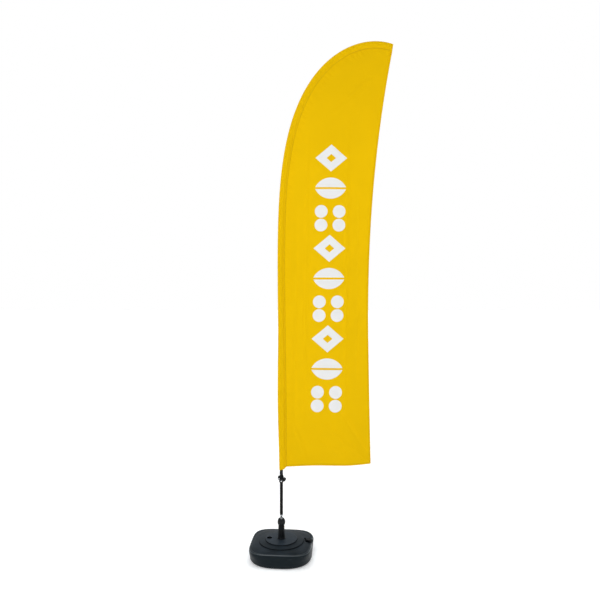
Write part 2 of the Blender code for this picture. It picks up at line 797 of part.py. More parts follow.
def turned_across(name, radius, near, far, height, looks, axis, sides=16):
    """A plain round bar along Y."""
    angle = np.linspace(0.0, 2 * pi, sides, endpoint=False)
    x = radius * np.cos(angle)
    z = height + radius * np.sin(angle)
    rings = [np.column_stack([x, np.full(sides, y), z]) for y in (near, far)]
    return lofted(name, rings, looks["steel"], axis)


def make_clip_screw(looks):
    """Small knurled screw through the collar's front, which locks it to the mast."""
    height = CLIP_FOOT + 0.010
    axis = holder("clip_screw_axis", (0.0, 0.0, height))
    ribs = 8
    sides = 4 * ribs
    tip = -0.0097
    face = -CLIP_R - GAP
    rows = [
        (0.0020, tip, 0.0),
        (0.0020, face, 0.0),
        (0.0040, face, 0.0),
        (0.0042, face - 0.0010, 0.0004),
        (0.0042, face - 0.0040, 0.0004),
        (0.0034, face - 0.0050, 0.0),
    ]
    rings = []
    for radius, y, depth in rows:
        flat = plan_ring(radius, 0.0, sides, ribs=ribs, depth=depth)
        rings.append(np.column_stack([flat[:, 0], np.full(sides, y), flat[:, 1]]))
    lofted("clip_screw", rings, looks["steel"], axis)


def make_tension_cord(looks, axis):
    """Elastic cord from the webbing tab, round the collar's guide, to the horn."""
    route = [
        (-0.0030, -0.0145, 0.4885),
        (-0.0095, -0.0165, 0.4840),
        (-0.0165, -0.0140, 0.4780),
        (-0.0205, -0.0090, 0.4710),
        (-0.0195, -0.0110, 0.4640),
        (-0.0120, -0.0160, 0.4600),
        (-0.0030, -0.0175, 0.4600),
        (0.0060, -0.0160, 0.4625),
        (0.0140, -0.0120, 0.4660),
        (0.0195, -0.0080, 0.4680),
    ]
    knots = np.array(route)
    spans = np.linalg.norm(np.diff(knots, axis=0), axis=1)
    along = np.concatenate([[0.0], np.cumsum(spans)])
    even = np.linspace(0.0, along[-1], 12)
    smooth = np.column_stack([np.interp(even, along, knots[:, k]) for k in range(3)])
    curve = bpy.data.curves.new("tension_cord", "CURVE")
    curve.dimensions = "3D"
    curve.bevel_depth = CORD_R
    curve.bevel_resolution = 2
    curve.use_fill_caps = True
    line = curve.splines.new("POLY")
    line.points.add(len(smooth) - 1)
    for point, spot in zip(line.points, smooth):
        point.co = (*spot, 1.0)
    curve.materials.append(looks["webbing"])
    made = bpy.data.objects.new("tension_cord", curve)
    bpy.context.scene.collection.objects.link(made)
    made.parent = axis


# ---- the whole object ------------------------------------------------------------
clear_scene()
LOOKS = make_materials()

BASE = holder("base_place", (0.0, 0.0, 0.0), BASE_TURN)
make_tank(LOOKS, BASE)
make_water(LOOKS, BASE)
make_filler(LOOKS, BASE)
make_vent(LOOKS, BASE)
make_stem(LOOKS, BASE)

make_clamp(LOOKS)
make_spindle(LOOKS)
make_rotor(LOOKS)

MAST = holder("mast_axis")
make_mast(LOOKS, MAST)
make_sleeve(LOOKS, MAST)
make_panel(LOOKS, MAST)
make_tab(LOOKS, MAST)
make_clip(LOOKS)
make_clip_screw(LOOKS)
make_tension_cord(LOOKS, MAST)
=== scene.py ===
import bpy
import numpy as np
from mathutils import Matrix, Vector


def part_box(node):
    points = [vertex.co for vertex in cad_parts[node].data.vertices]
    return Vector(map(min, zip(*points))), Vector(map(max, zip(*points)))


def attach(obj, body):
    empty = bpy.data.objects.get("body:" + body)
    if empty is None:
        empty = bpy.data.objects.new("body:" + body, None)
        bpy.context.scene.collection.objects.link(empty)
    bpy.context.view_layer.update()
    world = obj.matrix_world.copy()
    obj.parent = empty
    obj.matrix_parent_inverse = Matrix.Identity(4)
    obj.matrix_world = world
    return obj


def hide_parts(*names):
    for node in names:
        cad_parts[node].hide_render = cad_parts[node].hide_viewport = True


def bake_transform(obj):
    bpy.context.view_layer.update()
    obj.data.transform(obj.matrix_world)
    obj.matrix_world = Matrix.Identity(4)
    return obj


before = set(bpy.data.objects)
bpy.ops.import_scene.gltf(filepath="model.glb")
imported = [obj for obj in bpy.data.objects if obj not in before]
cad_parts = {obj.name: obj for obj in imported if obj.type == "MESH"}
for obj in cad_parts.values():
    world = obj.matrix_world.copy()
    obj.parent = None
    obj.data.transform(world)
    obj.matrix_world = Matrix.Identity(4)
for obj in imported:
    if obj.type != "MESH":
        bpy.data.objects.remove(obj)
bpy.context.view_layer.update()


# ---- stage -----------------------------------------------------------------------------------
# Not part of the flag: a pale floor that runs on out of sight, a white surround with a lit backdrop
# and an overhead light, and two soft boxes. The camera stands level, at half the flag's height.
CAMERA_PLACE = (0.1127, -3.33, 1.545)
CAMERA_LENS = 32.97
FLOOR_HALF = 80.0
FLAG_MIDDLE = (0.27, 0.0, 1.7)


class Socket:
    """A value in a node tree: arithmetic on it adds Math nodes, and node() adds any other."""

    def __init__(self, tree, source=None):
        self.tree = tree
        self.source = source

    def node(self, kind, settings, sockets, out=0):
        """Add a node: its settings first, then a plain value or another Socket for each input."""
        made = self.tree.nodes.new("ShaderNode" + kind)
        for key, value in settings.items():
            setattr(made, key, value)
        self.feed(made, sockets)
        return Socket(self.tree, made.outputs[out])

    def feed(self, made, sockets):
        """Set or link the inputs of a node that is there already."""
        for key, value in sockets.items():
            if isinstance(value, Socket):
                self.tree.links.new(value.source, made.inputs[key])
            else:
                made.inputs[key].default_value = value

    def math(self, operation, *values):
        return self.node("Math", {"operation": operation}, dict(enumerate(values)))

    def __add__(self, other):
        return self.math("ADD", self, other)

    def __sub__(self, other):
        return self.math("SUBTRACT", self, other)

    def __rsub__(self, other):
        return self.math("SUBTRACT", other, self)

    def __mul__(self, other):
        return self.math("MULTIPLY", self, other)

    def __truediv__(self, other):
        return self.math("DIVIDE", self, other)

    def __abs__(self):
        return self.math("ABSOLUTE", self)

    __radd__ = __add__
    __rmul__ = __mul__

    def rise(self, low, high):
        """0 below low, 1 above high, and a smooth step between them."""
        limits = {"Value": self, "From Min": low, "From Max": high}
        return self.node("MapRange", {"interpolation_type": "SMOOTHSTEP"}, limits)

    def blend(self, under, over):
        """The colour over laid on the colour under, with this value as its strength."""
        return self.node("Mix", {"data_type": "RGBA"}, {0: self, 6: under, 7: over}, 2)

    def part(self, axis):
        """One coordinate of this vector."""
        return self.node("SeparateXYZ", {}, {0: self}, axis)

    def noise(self, scale, detail=2.0, stretch=(1.0, 1.0, 1.0)):
        """Cloudy noise from 0 to 1 at this place: waves per metre, finer along a longer stretch."""
        moved = self.node("Mapping", {}, {"Vector": self, "Scale": stretch})
        return self.node("TexNoise", {}, {"Vector": moved, "Scale": scale, "Detail": detail})

    def bump(self, strength, distance):
        """The surface's normal, tilted as if this value were a relief of that depth."""
        return self.node("Bump", {}, {"Strength": strength, "Distance": distance, "Height": self})


def lamp(name, place, size, watts, colour):
    """A square soft box that looks at the middle of the flag."""
    data = bpy.data.lights.new(name, "AREA")
    data.shape = "SQUARE"
    data.size = size
    data.energy = watts
    data.color = colour
    made = bpy.data.objects.new(name, data)
    made.location = place
    aim = made.location - Vector(FLAG_MIDDLE)
    made.rotation_euler = aim.to_track_quat("Z", "Y").to_euler()
    bpy.context.scene.collection.objects.link(made)


camera = bpy.data.objects.new("camera", bpy.data.cameras.new("camera"))
camera.location = CAMERA_PLACE
camera.rotation_euler = (np.pi / 2, 0.0, 0.0)
camera.data.lens = CAMERA_LENS
camera.data.clip_end = 500.0
bpy.context.scene.collection.objects.link(camera)
bpy.context.scene.camera = camera
bpy.context.scene.view_settings.view_transform = "Standard"

world = bpy.data.worlds.new("white_surround")
world.use_nodes = True
bpy.context.scene.world = world
air = Socket(world.node_tree)
way = air.node("TexCoord", {}, {}, "Generated")
height = way.part("Z")
behind = way.part("Y").rise(-0.3, 0.5)
seen = air.node("LightPath", {}, {}, "Is Camera Ray")
backdrop = (1.0 - height.rise(0.28, 0.58)) * (0.10 + behind * 0.62)
glow = 0.20 + backdrop + 3.3 * height.rise(0.80, 1.0)
air.feed(
    world.node_tree.nodes["Background"],
    {
        "Color": seen.blend((0.945, 0.975, 1.0, 1.0), (1.0, 1.0, 1.0, 1.0)),
        "Strength": glow + seen * (1.0 - glow),
    },
)
lamp("key_light", (-2.2, -4.6, 3.4), 3.0, 74.0, (0.97, 0.985, 1.0))
lamp("fill_light", (3.0, -4.6, 2.4), 3.0, 15.0, (0.97, 0.985, 1.0))

corners = [(-FLOOR_HALF, -FLOOR_HALF, 0), (FLOOR_HALF, -FLOOR_HALF, 0),
           (FLOOR_HALF, FLOOR_HALF, 0), (-FLOOR_HALF, FLOOR_HALF, 0)]
floor_mesh = bpy.data.meshes.new("floor")
floor_mesh.from_pydata(corners, [], [(0, 1, 2, 3)])
floor = bpy.data.objects.new("floor", floor_mesh)
bpy.context.scene.collection.objects.link(floor)
floor_look = bpy.data.materials.new("pale_floor")
floor_look.use_nodes = True
paper = Socket(floor_look.node_tree)
place = paper.node("TexCoord", {}, {}, "Object")
mottle = paper.node("TexNoise", {}, {"Vector": place, "Scale": 1.5, "Detail": 2.0})
paper.feed(
    floor_look.node_tree.nodes["Principled BSDF"],
    {
        "Base Color": mottle.blend((0.93, 0.93, 0.93, 1), (0.95, 0.95, 0.95, 1)),
        "Roughness": 0.9,
        "Specular IOR Level": 0.1,
        "Emission Color": (1.0, 1.0, 1.0, 1),
        "Emission Strength": 0.30,
    },
)
floor_mesh.materials.append(floor_look)


# ---- water base: tank -------------------------------------------------------------------------
# The ballast tank: one hollow blow moulding in black polyethylene, with softly rounded edges, two
# round steps on its top, a moulded corner notch for the filler, and a round recess for the vent.
# It stands on the floor by its own weight, turned a little under the flag.
BASE_TURN = np.radians(-4.6)
TANK_OUTLINE = (
    #  half width, squareness, height
    (0.0, 2.0, 0.0), (0.168, 2.6, 0.0), (0.181, 2.6, 0.003), (0.1862, 2.65, 0.012),
    (0.187, 3.0, 0.036), (0.1862, 3.9, 0.066), (0.1845, 4.2, 0.0765), (0.1810, 4.2, 0.0815),
    (0.1775, 4.1, 0.0825), (0.1735, 3.9, 0.0800), (0.1690, 3.7, 0.0815), (0.158, 2.8, 0.0850),
    (0.140, 2.0, 0.0875), (0.136, 2.0, 0.0880), (0.1335, 2.0, 0.0930), (0.100, 2.0, 0.0962),
    (0.0975, 2.0, 0.0965), (0.095, 2.0, 0.1015), (0.030, 2.0, 0.103), (0.0174, 2.0, 0.103),
    (0.0174, 2.0, 0.006), (0.0, 2.0, 0.006),
)
NOTCH_FLOOR = 0.070
NOTCH_INNER = 0.1425
NOTCH_HALF = 0.027
FILLER_ANGLE = np.radians(8)
FILLER_REACH = 0.166         # from the mast's axis to the filler's
FILLER_CENTRE = (FILLER_REACH * np.cos(FILLER_ANGLE), FILLER_REACH * np.sin(FILLER_ANGLE))
VENT_CENTRE = (-0.072, 0.0)
VENT_HOLE_R = 0.0163
VENT_HOLE_FLOOR = 0.0885
UNDERSIDE_RISE = 0.003       # how far the underside stands off the floor between its ribs
PARTING_HEIGHT = 0.0375
SHOULDER_HEIGHT = 0.0765
RIM_HEIGHTS = (0.0780, 0.0828, 0.0836)
RISER_HEIGHTS = (0.0862, 0.0870)
PLATEAU_EDGE = (0.094, 0.097)
SHARP = 40.0                 # degrees between faces, past which an edge is shaded as sharp


def walked(points):
    """How far along a path each of its points lies."""
    spans = np.linalg.norm(np.diff(points, axis=0), axis=1)
    return np.concatenate([[0.0], np.cumsum(spans)])


def read_off(at, along, line):
    """The points of a line at some places, where along gives the place of each point it has."""
    return np.column_stack([np.interp(at, along, column) for column in line.T])


def circle(count):
    """Angles spaced evenly round a full turn."""
    return np.linspace(0.0, 2.0 * np.pi, count, endpoint=False)


def rounded(outline, step, reach, by=(0, -1)):
    """An outline walked in even steps and twice averaged over a reach, which rounds its corners.

    The columns named in by are a point's place; the others go along with them.
    """
    points = np.array(outline, float)
    along = walked(points[:, by])
    line = read_off(np.linspace(0.0, along[-1], int(along[-1] / step) + 1), along, points)
    half = max(1, int(reach / step / 2))
    kernel = np.ones(2 * half + 1) / (2 * half + 1)
    for _ in range(2):
        wide = np.pad(line, ((half, half), (0, 0)), mode="reflect", reflect_type="odd")
        line = np.column_stack([np.convolve(column, kernel, mode="valid") for column in wide.T])
    return line


def spaced(line, spacing):
    """Points of a finely walked line, as far apart as spacing says at each place along it."""
    spans = np.linalg.norm(np.diff(line[:, [0, -1]], axis=0), axis=1)
    count = np.concatenate([[0.0], np.cumsum(spans / spacing[1:])])
    return read_off(np.linspace(0.0, count[-1], int(np.ceil(count[-1])) + 1), count, line)


def step_up(value, low, high):
    """0 below low, 1 above high, and 3t^2 - 2t^3 between them; low may be the larger one."""
    share = np.clip((value - low) / (high - low), 0.0, 1.0)
    return share * share * (3.0 - 2.0 * share)


def skin(name, grid, look, body, loop=False, flat_ends=False, uv=None):
    """A closed surface over a grid of rings: row by row along it, column by column around it.

    With loop, the last ring joins the first, as in a tube with a wall. Otherwise each end closes
    in a pole at its ring's centre, or in a flat fan. uv has a row and a column more where it wraps.
    """
    rows, columns = grid.shape[:2]
    index = np.arange(rows * columns).reshape(rows, columns)
    wrapped = np.concatenate([index, index[:, :1]], axis=1)
    if loop:
        wrapped = np.concatenate([wrapped, wrapped[:1]], axis=0)
    faces = quads(wrapped).reshape(-1, 4).tolist()
    points = grid.reshape(-1, 3)
    if flat_ends:
        first, last = index[0].tolist(), index[-1].tolist()
        faces += [(first[0], b, a) for a, b in zip(first[1:], first[2:])]
        faces += [(last[0], a, b) for a, b in zip(last[1:], last[2:])]
    elif not loop:
        low, high = len(points), len(points) + 1
        points = np.concatenate([points, grid[:1].mean(axis=1), grid[-1:].mean(axis=1)])
        faces += [(low, b, a) for a, b in zip(wrapped[0].tolist(), wrapped[0, 1:].tolist())]
        faces += [(high, a, b) for a, b in zip(wrapped[-1].tolist(), wrapped[-1, 1:].tolist())]
    corners = None if uv is None else quads(uv).reshape(-1, 2)
    return piece(name, points, faces, look, body, corners)


def quads(grid):
    """The four corners of each cell of a grid, in order round the cell."""
    return np.stack([grid[:-1, :-1], grid[:-1, 1:], grid[1:, 1:], grid[1:, :-1]], axis=2)


def piece(name, points, faces, look, body, corners=None):
    """A named mesh with outward faces, its finish and slot, riding on a body.

    Its faces are flipped when the volume that they enclose comes out negative.
    """
    mesh = bpy.data.meshes.new(name)
    mesh.from_pydata(points.tolist(), [], faces)
    if corners is not None:
        whole = np.zeros((len(mesh.loops), 2), np.float32)
        whole[: len(corners)] = corners
        mesh.uv_layers.new(name="cloth").data.foreach_set("uv", whole.ravel())
    mesh.calc_loop_triangles()
    triangles = np.zeros(3 * len(mesh.loop_triangles), int)
    mesh.loop_triangles.foreach_get("vertices", triangles)
    a, b, c = (points[triangles[k::3]] for k in range(3))
    if np.einsum("ij,ij->i", a, np.cross(b, c)).sum() < 0.0:
        mesh.flip_normals()
    mesh.shade_smooth()
    mesh.set_sharp_from_angle(angle=np.radians(SHARP))
    mesh.materials.append(look)
    made = bpy.data.objects.new(name, mesh)
    bpy.context.scene.collection.objects.link(made)
    if body:
        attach(made, body)
    return made


def start(name):
    """A new material, as a Socket on its tree, and where a point lies on the piece."""
    look = bpy.data.materials.new(name)
    look.use_nodes = True
    finish = Socket(look.node_tree)
    return look, finish, finish.node("TexCoord", {}, {}, "Object")


def complete(look, finish, sockets):
    """Feed the material's Principled shader."""
    finish.feed(look.node_tree.nodes["Principled BSDF"], sockets)
    return look


def make_tank_plastic():
    """Fine-grained black polyethylene with scuffs. What faces up is paler and bluer: part dust,
    part painted sheen. The rim has a painted highlight, and the step risers painted shade.

    The rim and the risers of the two steps are told by their height and by how far they tilt.
    """
    look, finish, place = start("tank_plastic")
    grain = place.noise(900.0) * 0.6 + place.noise(220.0, 3.0) * 0.4
    clouds = place.noise(14.0, 4.0)
    normal = finish.node("NewGeometry", {}, {}, "Normal")
    up = normal.part("Z")
    off_axis = finish.node("VectorMath", {"operation": "MULTIPLY"}, {0: place, 1: (1.0, 1.0, 0.0)})
    off_axis = finish.node("VectorMath", {"operation": "LENGTH"}, {0: off_axis}, "Value")
    plateau = 1.0 - off_axis.rise(*PLATEAU_EDGE)
    # Part dust, part painted sheen: faces that point up, most of all the round plateau, are painted
    # paler and bluer.
    dust_and_sheen = up.rise(0.55, 0.98) * (clouds.rise(0.25, 0.8) * 0.5 + plateau * 0.5)
    scratch = place.noise(22.0, 3.0, (1.0, 9.0, 6.0)).rise(0.56, 0.80)
    scratch = scratch * place.noise(9.0).rise(0.45, 0.7)
    height = place.part("Z")
    tilted = up.rise(0.15, 0.40) * (1.0 - up.rise(0.80, 0.96))
    # Painted highlight: a band along the rim bead is painted paler, and it also gets a gloss coat
    # and less roughness.
    rim = tilted * height.rise(SHOULDER_HEIGHT, RIM_HEIGHTS[0])
    rim = rim * (1.0 - height.rise(*RIM_HEIGHTS[1:]))
    # Painted shade: the sideways-facing walls of the two steps are painted near black; they are also
    # made rougher.
    shaded_riser = (1.0 - up.rise(0.70, 0.95)) * height.rise(*RISER_HEIGHTS)
    black = dust_and_sheen.blend((0.0070, 0.0110, 0.0135, 1), (0.027, 0.037, 0.049, 1))
    black = shaded_riser.blend(black, (0.0010, 0.0018, 0.0025, 1))
    return complete(look, finish, {
        # Paler colour: real scuffs, plus the rim's painted highlight.
        "Base Color": (scratch * 0.5 + rim * 0.7).blend(black, (0.060, 0.072, 0.078, 1)),
        "Roughness": 0.36 + clouds * 0.14 + scratch * 0.15 + shaded_riser * 0.30 - rim * 0.12,
        "Coat Weight": rim * 0.6,
        "Coat Roughness": 0.2,
        "Specular IOR Level": 0.11,
        "Specular Tint": (0.80, 0.92, 1.0, 1),
        "Normal": grain.bump(0.35, 0.0004),
    })


def tank_grid():
    """The tank's skin: rings of radius half/(|cos|^n + |sin|^n)^(1/n), then its hollows pressed in.

    Near the notch the columns run side by side instead of fanning out, so that its side walls
    follow them; its inner wall follows a ring. The walls are smooth steps down to each floor.
    """
    line = rounded(TANK_OUTLINE, 0.0004, 0.0022)
    half, power, z = line.T
    below = np.arange(len(half)) < np.argmax(half)
    spacing = np.where(z > SHOULDER_HEIGHT, 0.0012, 0.0021)
    spacing = np.where(np.abs(half - NOTCH_INNER) < 0.004, 0.0006, spacing)
    spacing = np.where(np.abs(z - PARTING_HEIGHT) < 0.0016, 0.0004, spacing)
    spacing = np.where(np.abs(z - NOTCH_FLOOR) < 0.004, 0.0010, spacing)
    spacing = np.where((np.abs(half + VENT_CENTRE[0]) < 0.020) & ~below, 0.0007, spacing)
    spacing = np.where((half < 0.165) & below, 0.0055, spacing)
    spacing = np.where((half < 0.0175) & ~below, 0.012, spacing)
    half, power, z = spaced(line, spacing).T[:, :, None]

    fine = np.linspace(-180.0, 180.0, 14401)
    walls = FILLER_CENTRE[1] + np.array([[-NOTCH_HALF], [NOTCH_HALF]])
    walls = np.degrees(np.arcsin(walls / FILLER_REACH))
    gap = np.where(np.abs(fine - 8.0) < 13.0, 0.6, np.where(np.abs(fine) > 162.0, 0.6, 1.7))
    gap = np.where(np.abs(fine - walls).min(axis=0) < 1.2, 0.16, gap)
    count = np.concatenate([[0.0], np.cumsum(np.diff(fine) / gap[1:])])
    columns = int(count[-1])
    angle = np.radians(np.interp(np.arange(columns), count * columns / count[-1], fine))

    spread = (np.abs(np.cos(angle)) ** power + np.abs(np.sin(angle)) ** power) ** (1.0 / power)
    radius = half / spread
    radius = radius + 0.00035 * np.exp(-(((z - PARTING_HEIGHT) / 0.0006) ** 2)) * (half > 0.18)
    beside = np.arcsin(np.clip(FILLER_REACH * np.sin(angle) / np.maximum(radius, 0.11), -1.0, 1.0))
    near = step_up(np.abs(angle - FILLER_ANGLE), 0.62, 0.30) * step_up(radius, 0.112, 0.140)
    angle = angle + near * (beside - angle)
    x = radius * np.cos(angle)
    y = radius * np.sin(angle)
    z = z + 0.0 * radius

    between_ribs = step_up(np.abs(np.sin(4.0 * angle)), 0.10, 0.16)
    lifted = UNDERSIDE_RISE * between_ribs * step_up(radius, 0.135, 0.128)
    z = z + lifted * step_up(radius, 0.030, 0.036) * (z < 0.001)

    side = step_up(np.abs(y - FILLER_CENTRE[1]), NOTCH_HALF + 0.0006, NOTCH_HALF - 0.0010)
    notch = side * step_up(radius, NOTCH_INNER - 0.0010, NOTCH_INNER + 0.0010) * (x > 0.0)
    z = z - notch * np.maximum(z - NOTCH_FLOOR, 0.0)

    reach = np.hypot(x - VENT_CENTRE[0], y - VENT_CENTRE[1])
    hole = step_up(reach, VENT_HOLE_R + 0.0006, VENT_HOLE_R - 0.0006)
    z = z - hole * np.maximum(z - VENT_HOLE_FLOOR, 0.0)
    mouth = np.hypot(x - FILLER_CENTRE[0], y - FILLER_CENTRE[1])
    z = z - 0.006 * step_up(mouth, 0.0104, 0.0094) * (z > NOTCH_FLOOR - 0.001)
    return np.stack([x, y, z], axis=-1)


def turned_base(grid):
    """Points of the base turned about the mast's axis to where the base stands."""
    cos, sin = np.cos(BASE_TURN), np.sin(BASE_TURN)
    x, y, z = np.moveaxis(grid, -1, 0)
    return np.stack([x * cos - y * sin, x * sin + y * cos, z], axis=-1)


tank_plastic = make_tank_plastic()
tank = skin("tank_shell", turned_base(tank_grid()), tank_plastic, "base")
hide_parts("base_tank")


# ---- water -------------------------------------------------------------------------------------
# Some six litres of tap water that weigh the base down, up to a finger under the filler. It is
# out of sight in the tank, so the solid of the frame stands for it.
def dress(node, look):
    """Give a solid of the frame a finish."""
    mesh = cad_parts[node].data
    mesh.materials.clear()
    mesh.materials.append(look)


look, finish, place = start("tap_water")
dress("water_fill", complete(look, finish, {
    "Base Color": place.noise(30.0).blend((0.50, 0.68, 0.72, 1), (0.60, 0.76, 0.80, 1)),
    "Roughness": 0.04,
    "IOR": 1.33,
    "Transmission Weight": 0.9,
}))


# ---- filler: neck, gasket and cap ----------------------------------------------------------------
# A moulded neck with a coarse thread, welded to the notch's floor; a flat rubber gasket on its rim;
# and a ribbed screw cap that the hand turns off to pour water in.
NECK_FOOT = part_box("filler_neck")[0].z
NECK_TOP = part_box("filler_neck")[1].z
CAP_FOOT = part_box("filler_cap")[0].z
CAP_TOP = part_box("filler_cap")[1].z
NECK_PITCH = 0.0040
CAP_RIBS = 20


def make_fitting_plastic(name, roughness, colour=(0.0022, 0.0032, 0.0045, 1), worn=0.18):
    """Injection-moulded black plastic: faint flow marks, fine grain, and paler rubbed patches."""
    look, finish, place = start(name)
    flow = place.noise(45.0, 4.0, (1.0, 1.0, 0.35))
    grain = place.noise(1600.0)
    rub = place.noise(130.0, 4.0).rise(0.56, 0.74)
    return complete(look, finish, {
        "Base Color": (rub * worn).blend(colour, (0.042, 0.045, 0.047, 1)),
        "Roughness": roughness + flow * 0.12 + rub * 0.10,
        "Specular IOR Level": 0.13,
        "Normal": (grain + flow * 0.5).bump(0.25, 0.00015),
    })


def make_rubber():
    """Black rubber: dull, with a bloom of paler dust."""
    look, finish, place = start("rubber")
    bloom = place.noise(260.0, 4.0)
    return complete(look, finish, {
        "Base Color": bloom.rise(0.4, 0.8).blend((0.010, 0.010, 0.010, 1), (0.030, 0.030, 0.029, 1)),
        "Roughness": 0.72 + bloom * 0.2,
        "Normal": bloom.bump(0.3, 0.0002),
    })


def spin(line, sides, centre=(0.0, 0.0), swell=None):
    """Carry (radius, height) points round an upright axis at a centre.

    swell(radius, angle, height) gives what is added to the radius, as ribs or a thread are.
    """
    radius, z = line.T[:, :, None]
    angle = circle(sides)[None, :]
    if swell:
        radius = radius + swell(radius, angle, z)
    x = centre[0] + radius * np.cos(angle)
    y = centre[1] + radius * np.sin(angle)
    return np.stack([x, y, z + 0.0 * x], axis=-1)


def ribbed(count, depth, low, high, fade):
    """Grip ribs: a clipped cosine of the angle, which fades out at a lower and an upper height."""
    def swell(radius, angle, z):
        rib = np.clip(0.5 + 1.1 * np.cos(count * angle), 0.0, 1.0)
        return depth * rib * step_up(z, low, low + fade) * step_up(z, high, high - fade)
    return swell


def threaded(radius_at_root, depth, pitch, low, high):
    """A thread: a ridge that climbs one pitch in each turn, on the part with its root's radius."""
    def swell(radius, angle, z):
        turn = (z - low) / pitch - angle / (2.0 * np.pi)
        ridge = np.clip(1.6 * np.cos(2.0 * np.pi * turn) - 0.2, 0.0, 1.0)
        ends = step_up(z, low, low + pitch / 2) * step_up(z, high, high - pitch / 2)
        return depth * ridge * ends * (np.abs(radius - radius_at_root) < 0.0002)
    return swell


def loop_line(outline, step, reach):
    """A closed outline, rounded like an open one, that ends just before its first point."""
    points = np.array(outline + outline[:1], float)
    middle = (points[0] + points[1]) / 2.0
    return rounded([middle, *points[1:], middle], step, reach)[:-1]


fitting = make_fitting_plastic("fitting_plastic", 0.30)
rubber = make_rubber()

neck_line = loop_line(
    [(0.0100, NECK_FOOT), (0.0123, NECK_FOOT), (0.0123, NECK_TOP), (0.0100, NECK_TOP)],
    0.00025, 0.0006,
)
neck_thread = threaded(0.0123, 0.0007, NECK_PITCH, NECK_FOOT + 0.003, NECK_TOP - 0.0006)
neck = skin(
    "filler_neck_threaded",
    turned_base(spin(neck_line, 72, FILLER_CENTRE, neck_thread)),
    fitting, "base", loop=True,
)
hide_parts("filler_neck")
dress("filler_gasket", rubber)

cap_line = rounded(
    [
        (0.0, 0.0882), (0.0136, 0.0882), (0.0136, CAP_FOOT), (0.0164, CAP_FOOT),
        (0.0172, CAP_FOOT + 0.0010), (0.0172, CAP_TOP - 0.0034), (0.0160, CAP_TOP - 0.0008),
        (0.0140, CAP_TOP), (0.0112, CAP_TOP), (0.0104, CAP_TOP - 0.0009), (0.0, CAP_TOP - 0.0005),
    ],
    0.00025, 0.0006,
)
cap = skin(
    "filler_cap_ribbed",
    turned_base(spin(cap_line, 200, FILLER_CENTRE,
                     lambda r, a, z: (r > 0.0150) * ribbed(CAP_RIBS, 0.0008, CAP_FOOT + 0.001,
                                                           CAP_TOP - 0.0022, 0.0012)(r, a, z))),
    fitting, "cap",
)
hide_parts("filler_cap")


# ---- vent: cup and plug --------------------------------------------------------------------------
# A round cup with a narrow lip, moulded into the tank's top, and a push-in plug sunk in it: dished,
# with a bar across the dish for a finger nail. It lets air in while the tank is emptied.
PLUG_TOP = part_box("vent_plug")[1].z
CUP_LIP = 0.1026
DISH_R = 0.0092
DISH_FLOOR = PLUG_TOP - 0.0027
BAR_TOP = PLUG_TOP - 0.0001
BAR_FOOT_HALF = 0.0021
BAR_TOP_HALF = 0.0012
cup_line = loop_line(
    [
        (0.0063, 0.0925), (0.0146, 0.0925), (0.0150, 0.0932), (0.0150, CUP_LIP - 0.0004),
        (0.0156, CUP_LIP + 0.0002), (0.0178, CUP_LIP), (0.0188, CUP_LIP - 0.0018),
        (0.0180, 0.0890), (0.0063, 0.0890),
    ],
    0.0002, 0.0007,
)
skin("vent_cup", turned_base(spin(cup_line, 120, VENT_CENTRE)), tank_plastic, "base",
     loop=True)

plug_line = rounded(
    [
        (0.0, 0.0862), (0.0048, 0.0862), (0.0058, 0.0874), (0.0059, 0.0926), (0.0108, 0.0929),
        (0.0110, PLUG_TOP - 0.0010), (0.0104, PLUG_TOP), (0.0093, PLUG_TOP),
        (0.0086, PLUG_TOP - 0.0022), (0.0, PLUG_TOP - 0.0022),
    ],
    0.0002, 0.0007,
)
plug_grid = spin(plug_line, 96)
across = np.abs(plug_grid[..., 1])
in_dish = (plug_grid[..., 2] > DISH_FLOOR) & (np.hypot(*plug_grid[..., :2].T).T < DISH_R)
lift = (BAR_TOP - plug_grid[..., 2]) * step_up(across, BAR_FOOT_HALF, BAR_TOP_HALF) * in_dish
plug_grid[..., 2] += np.maximum(lift, 0.0)
plug_grid[..., 0] += VENT_CENTRE[0]
plug = skin("vent_plug_dished", turned_base(plug_grid), fitting, "vent")
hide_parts("vent_plug")


# ---- stem ----------------------------------------------------------------------------------------
# A thick moulded tube that plugs into the tank's well. It flares where it meets the tank, tapers
# upwards, and ends in a coarse thread for the clamp nut.
STEM_ROOT = 0.1033
STEM_SHOULDER = 0.1865
STEM_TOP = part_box("stem_tube")[1].z
STEM_PITCH = 0.0045
stem_line = rounded(
    [
        (0.0, 0.110), (0.0140, 0.110), (0.0140, 0.008), (0.0170, 0.008), (0.0170, STEM_ROOT),
        (0.0245, STEM_ROOT), (0.0240, STEM_ROOT + 0.0025), (0.0215, STEM_ROOT + 0.0050),
        (0.0202, STEM_ROOT + 0.0110), (0.0180, STEM_SHOULDER - 0.004), (0.0176, STEM_SHOULDER),
        (0.0133, STEM_SHOULDER + 0.0003), (0.0133, STEM_TOP), (0.0114, STEM_TOP), (0.0114, 0.171),
        (0.0084, 0.171), (0.0084, 0.1177), (0.0, 0.1177),
    ],
    0.0004, 0.0009,
)
stem_line = spaced(stem_line, np.where(stem_line[:, 1] > STEM_SHOULDER - 0.002, 0.0005, 0.0012))
stem_thread = threaded(0.0133, 0.0007, STEM_PITCH, STEM_SHOULDER + 0.001, STEM_TOP - 0.0005)


def stem_swell(radius, angle, z):
    """The thread, and two mould lines up the taper as narrow peaks of the cosine of the angle."""
    seam = 0.00025 * np.abs(np.cos(angle)) ** 400 * (radius > 0.0150) * (z > STEM_ROOT + 0.003)
    return stem_thread(radius, angle, z) + seam


stem = skin("stem_tapered", turned_base(spin(stem_line, 160, swell=stem_swell)),
            fitting, "base")
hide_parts("stem_tube")


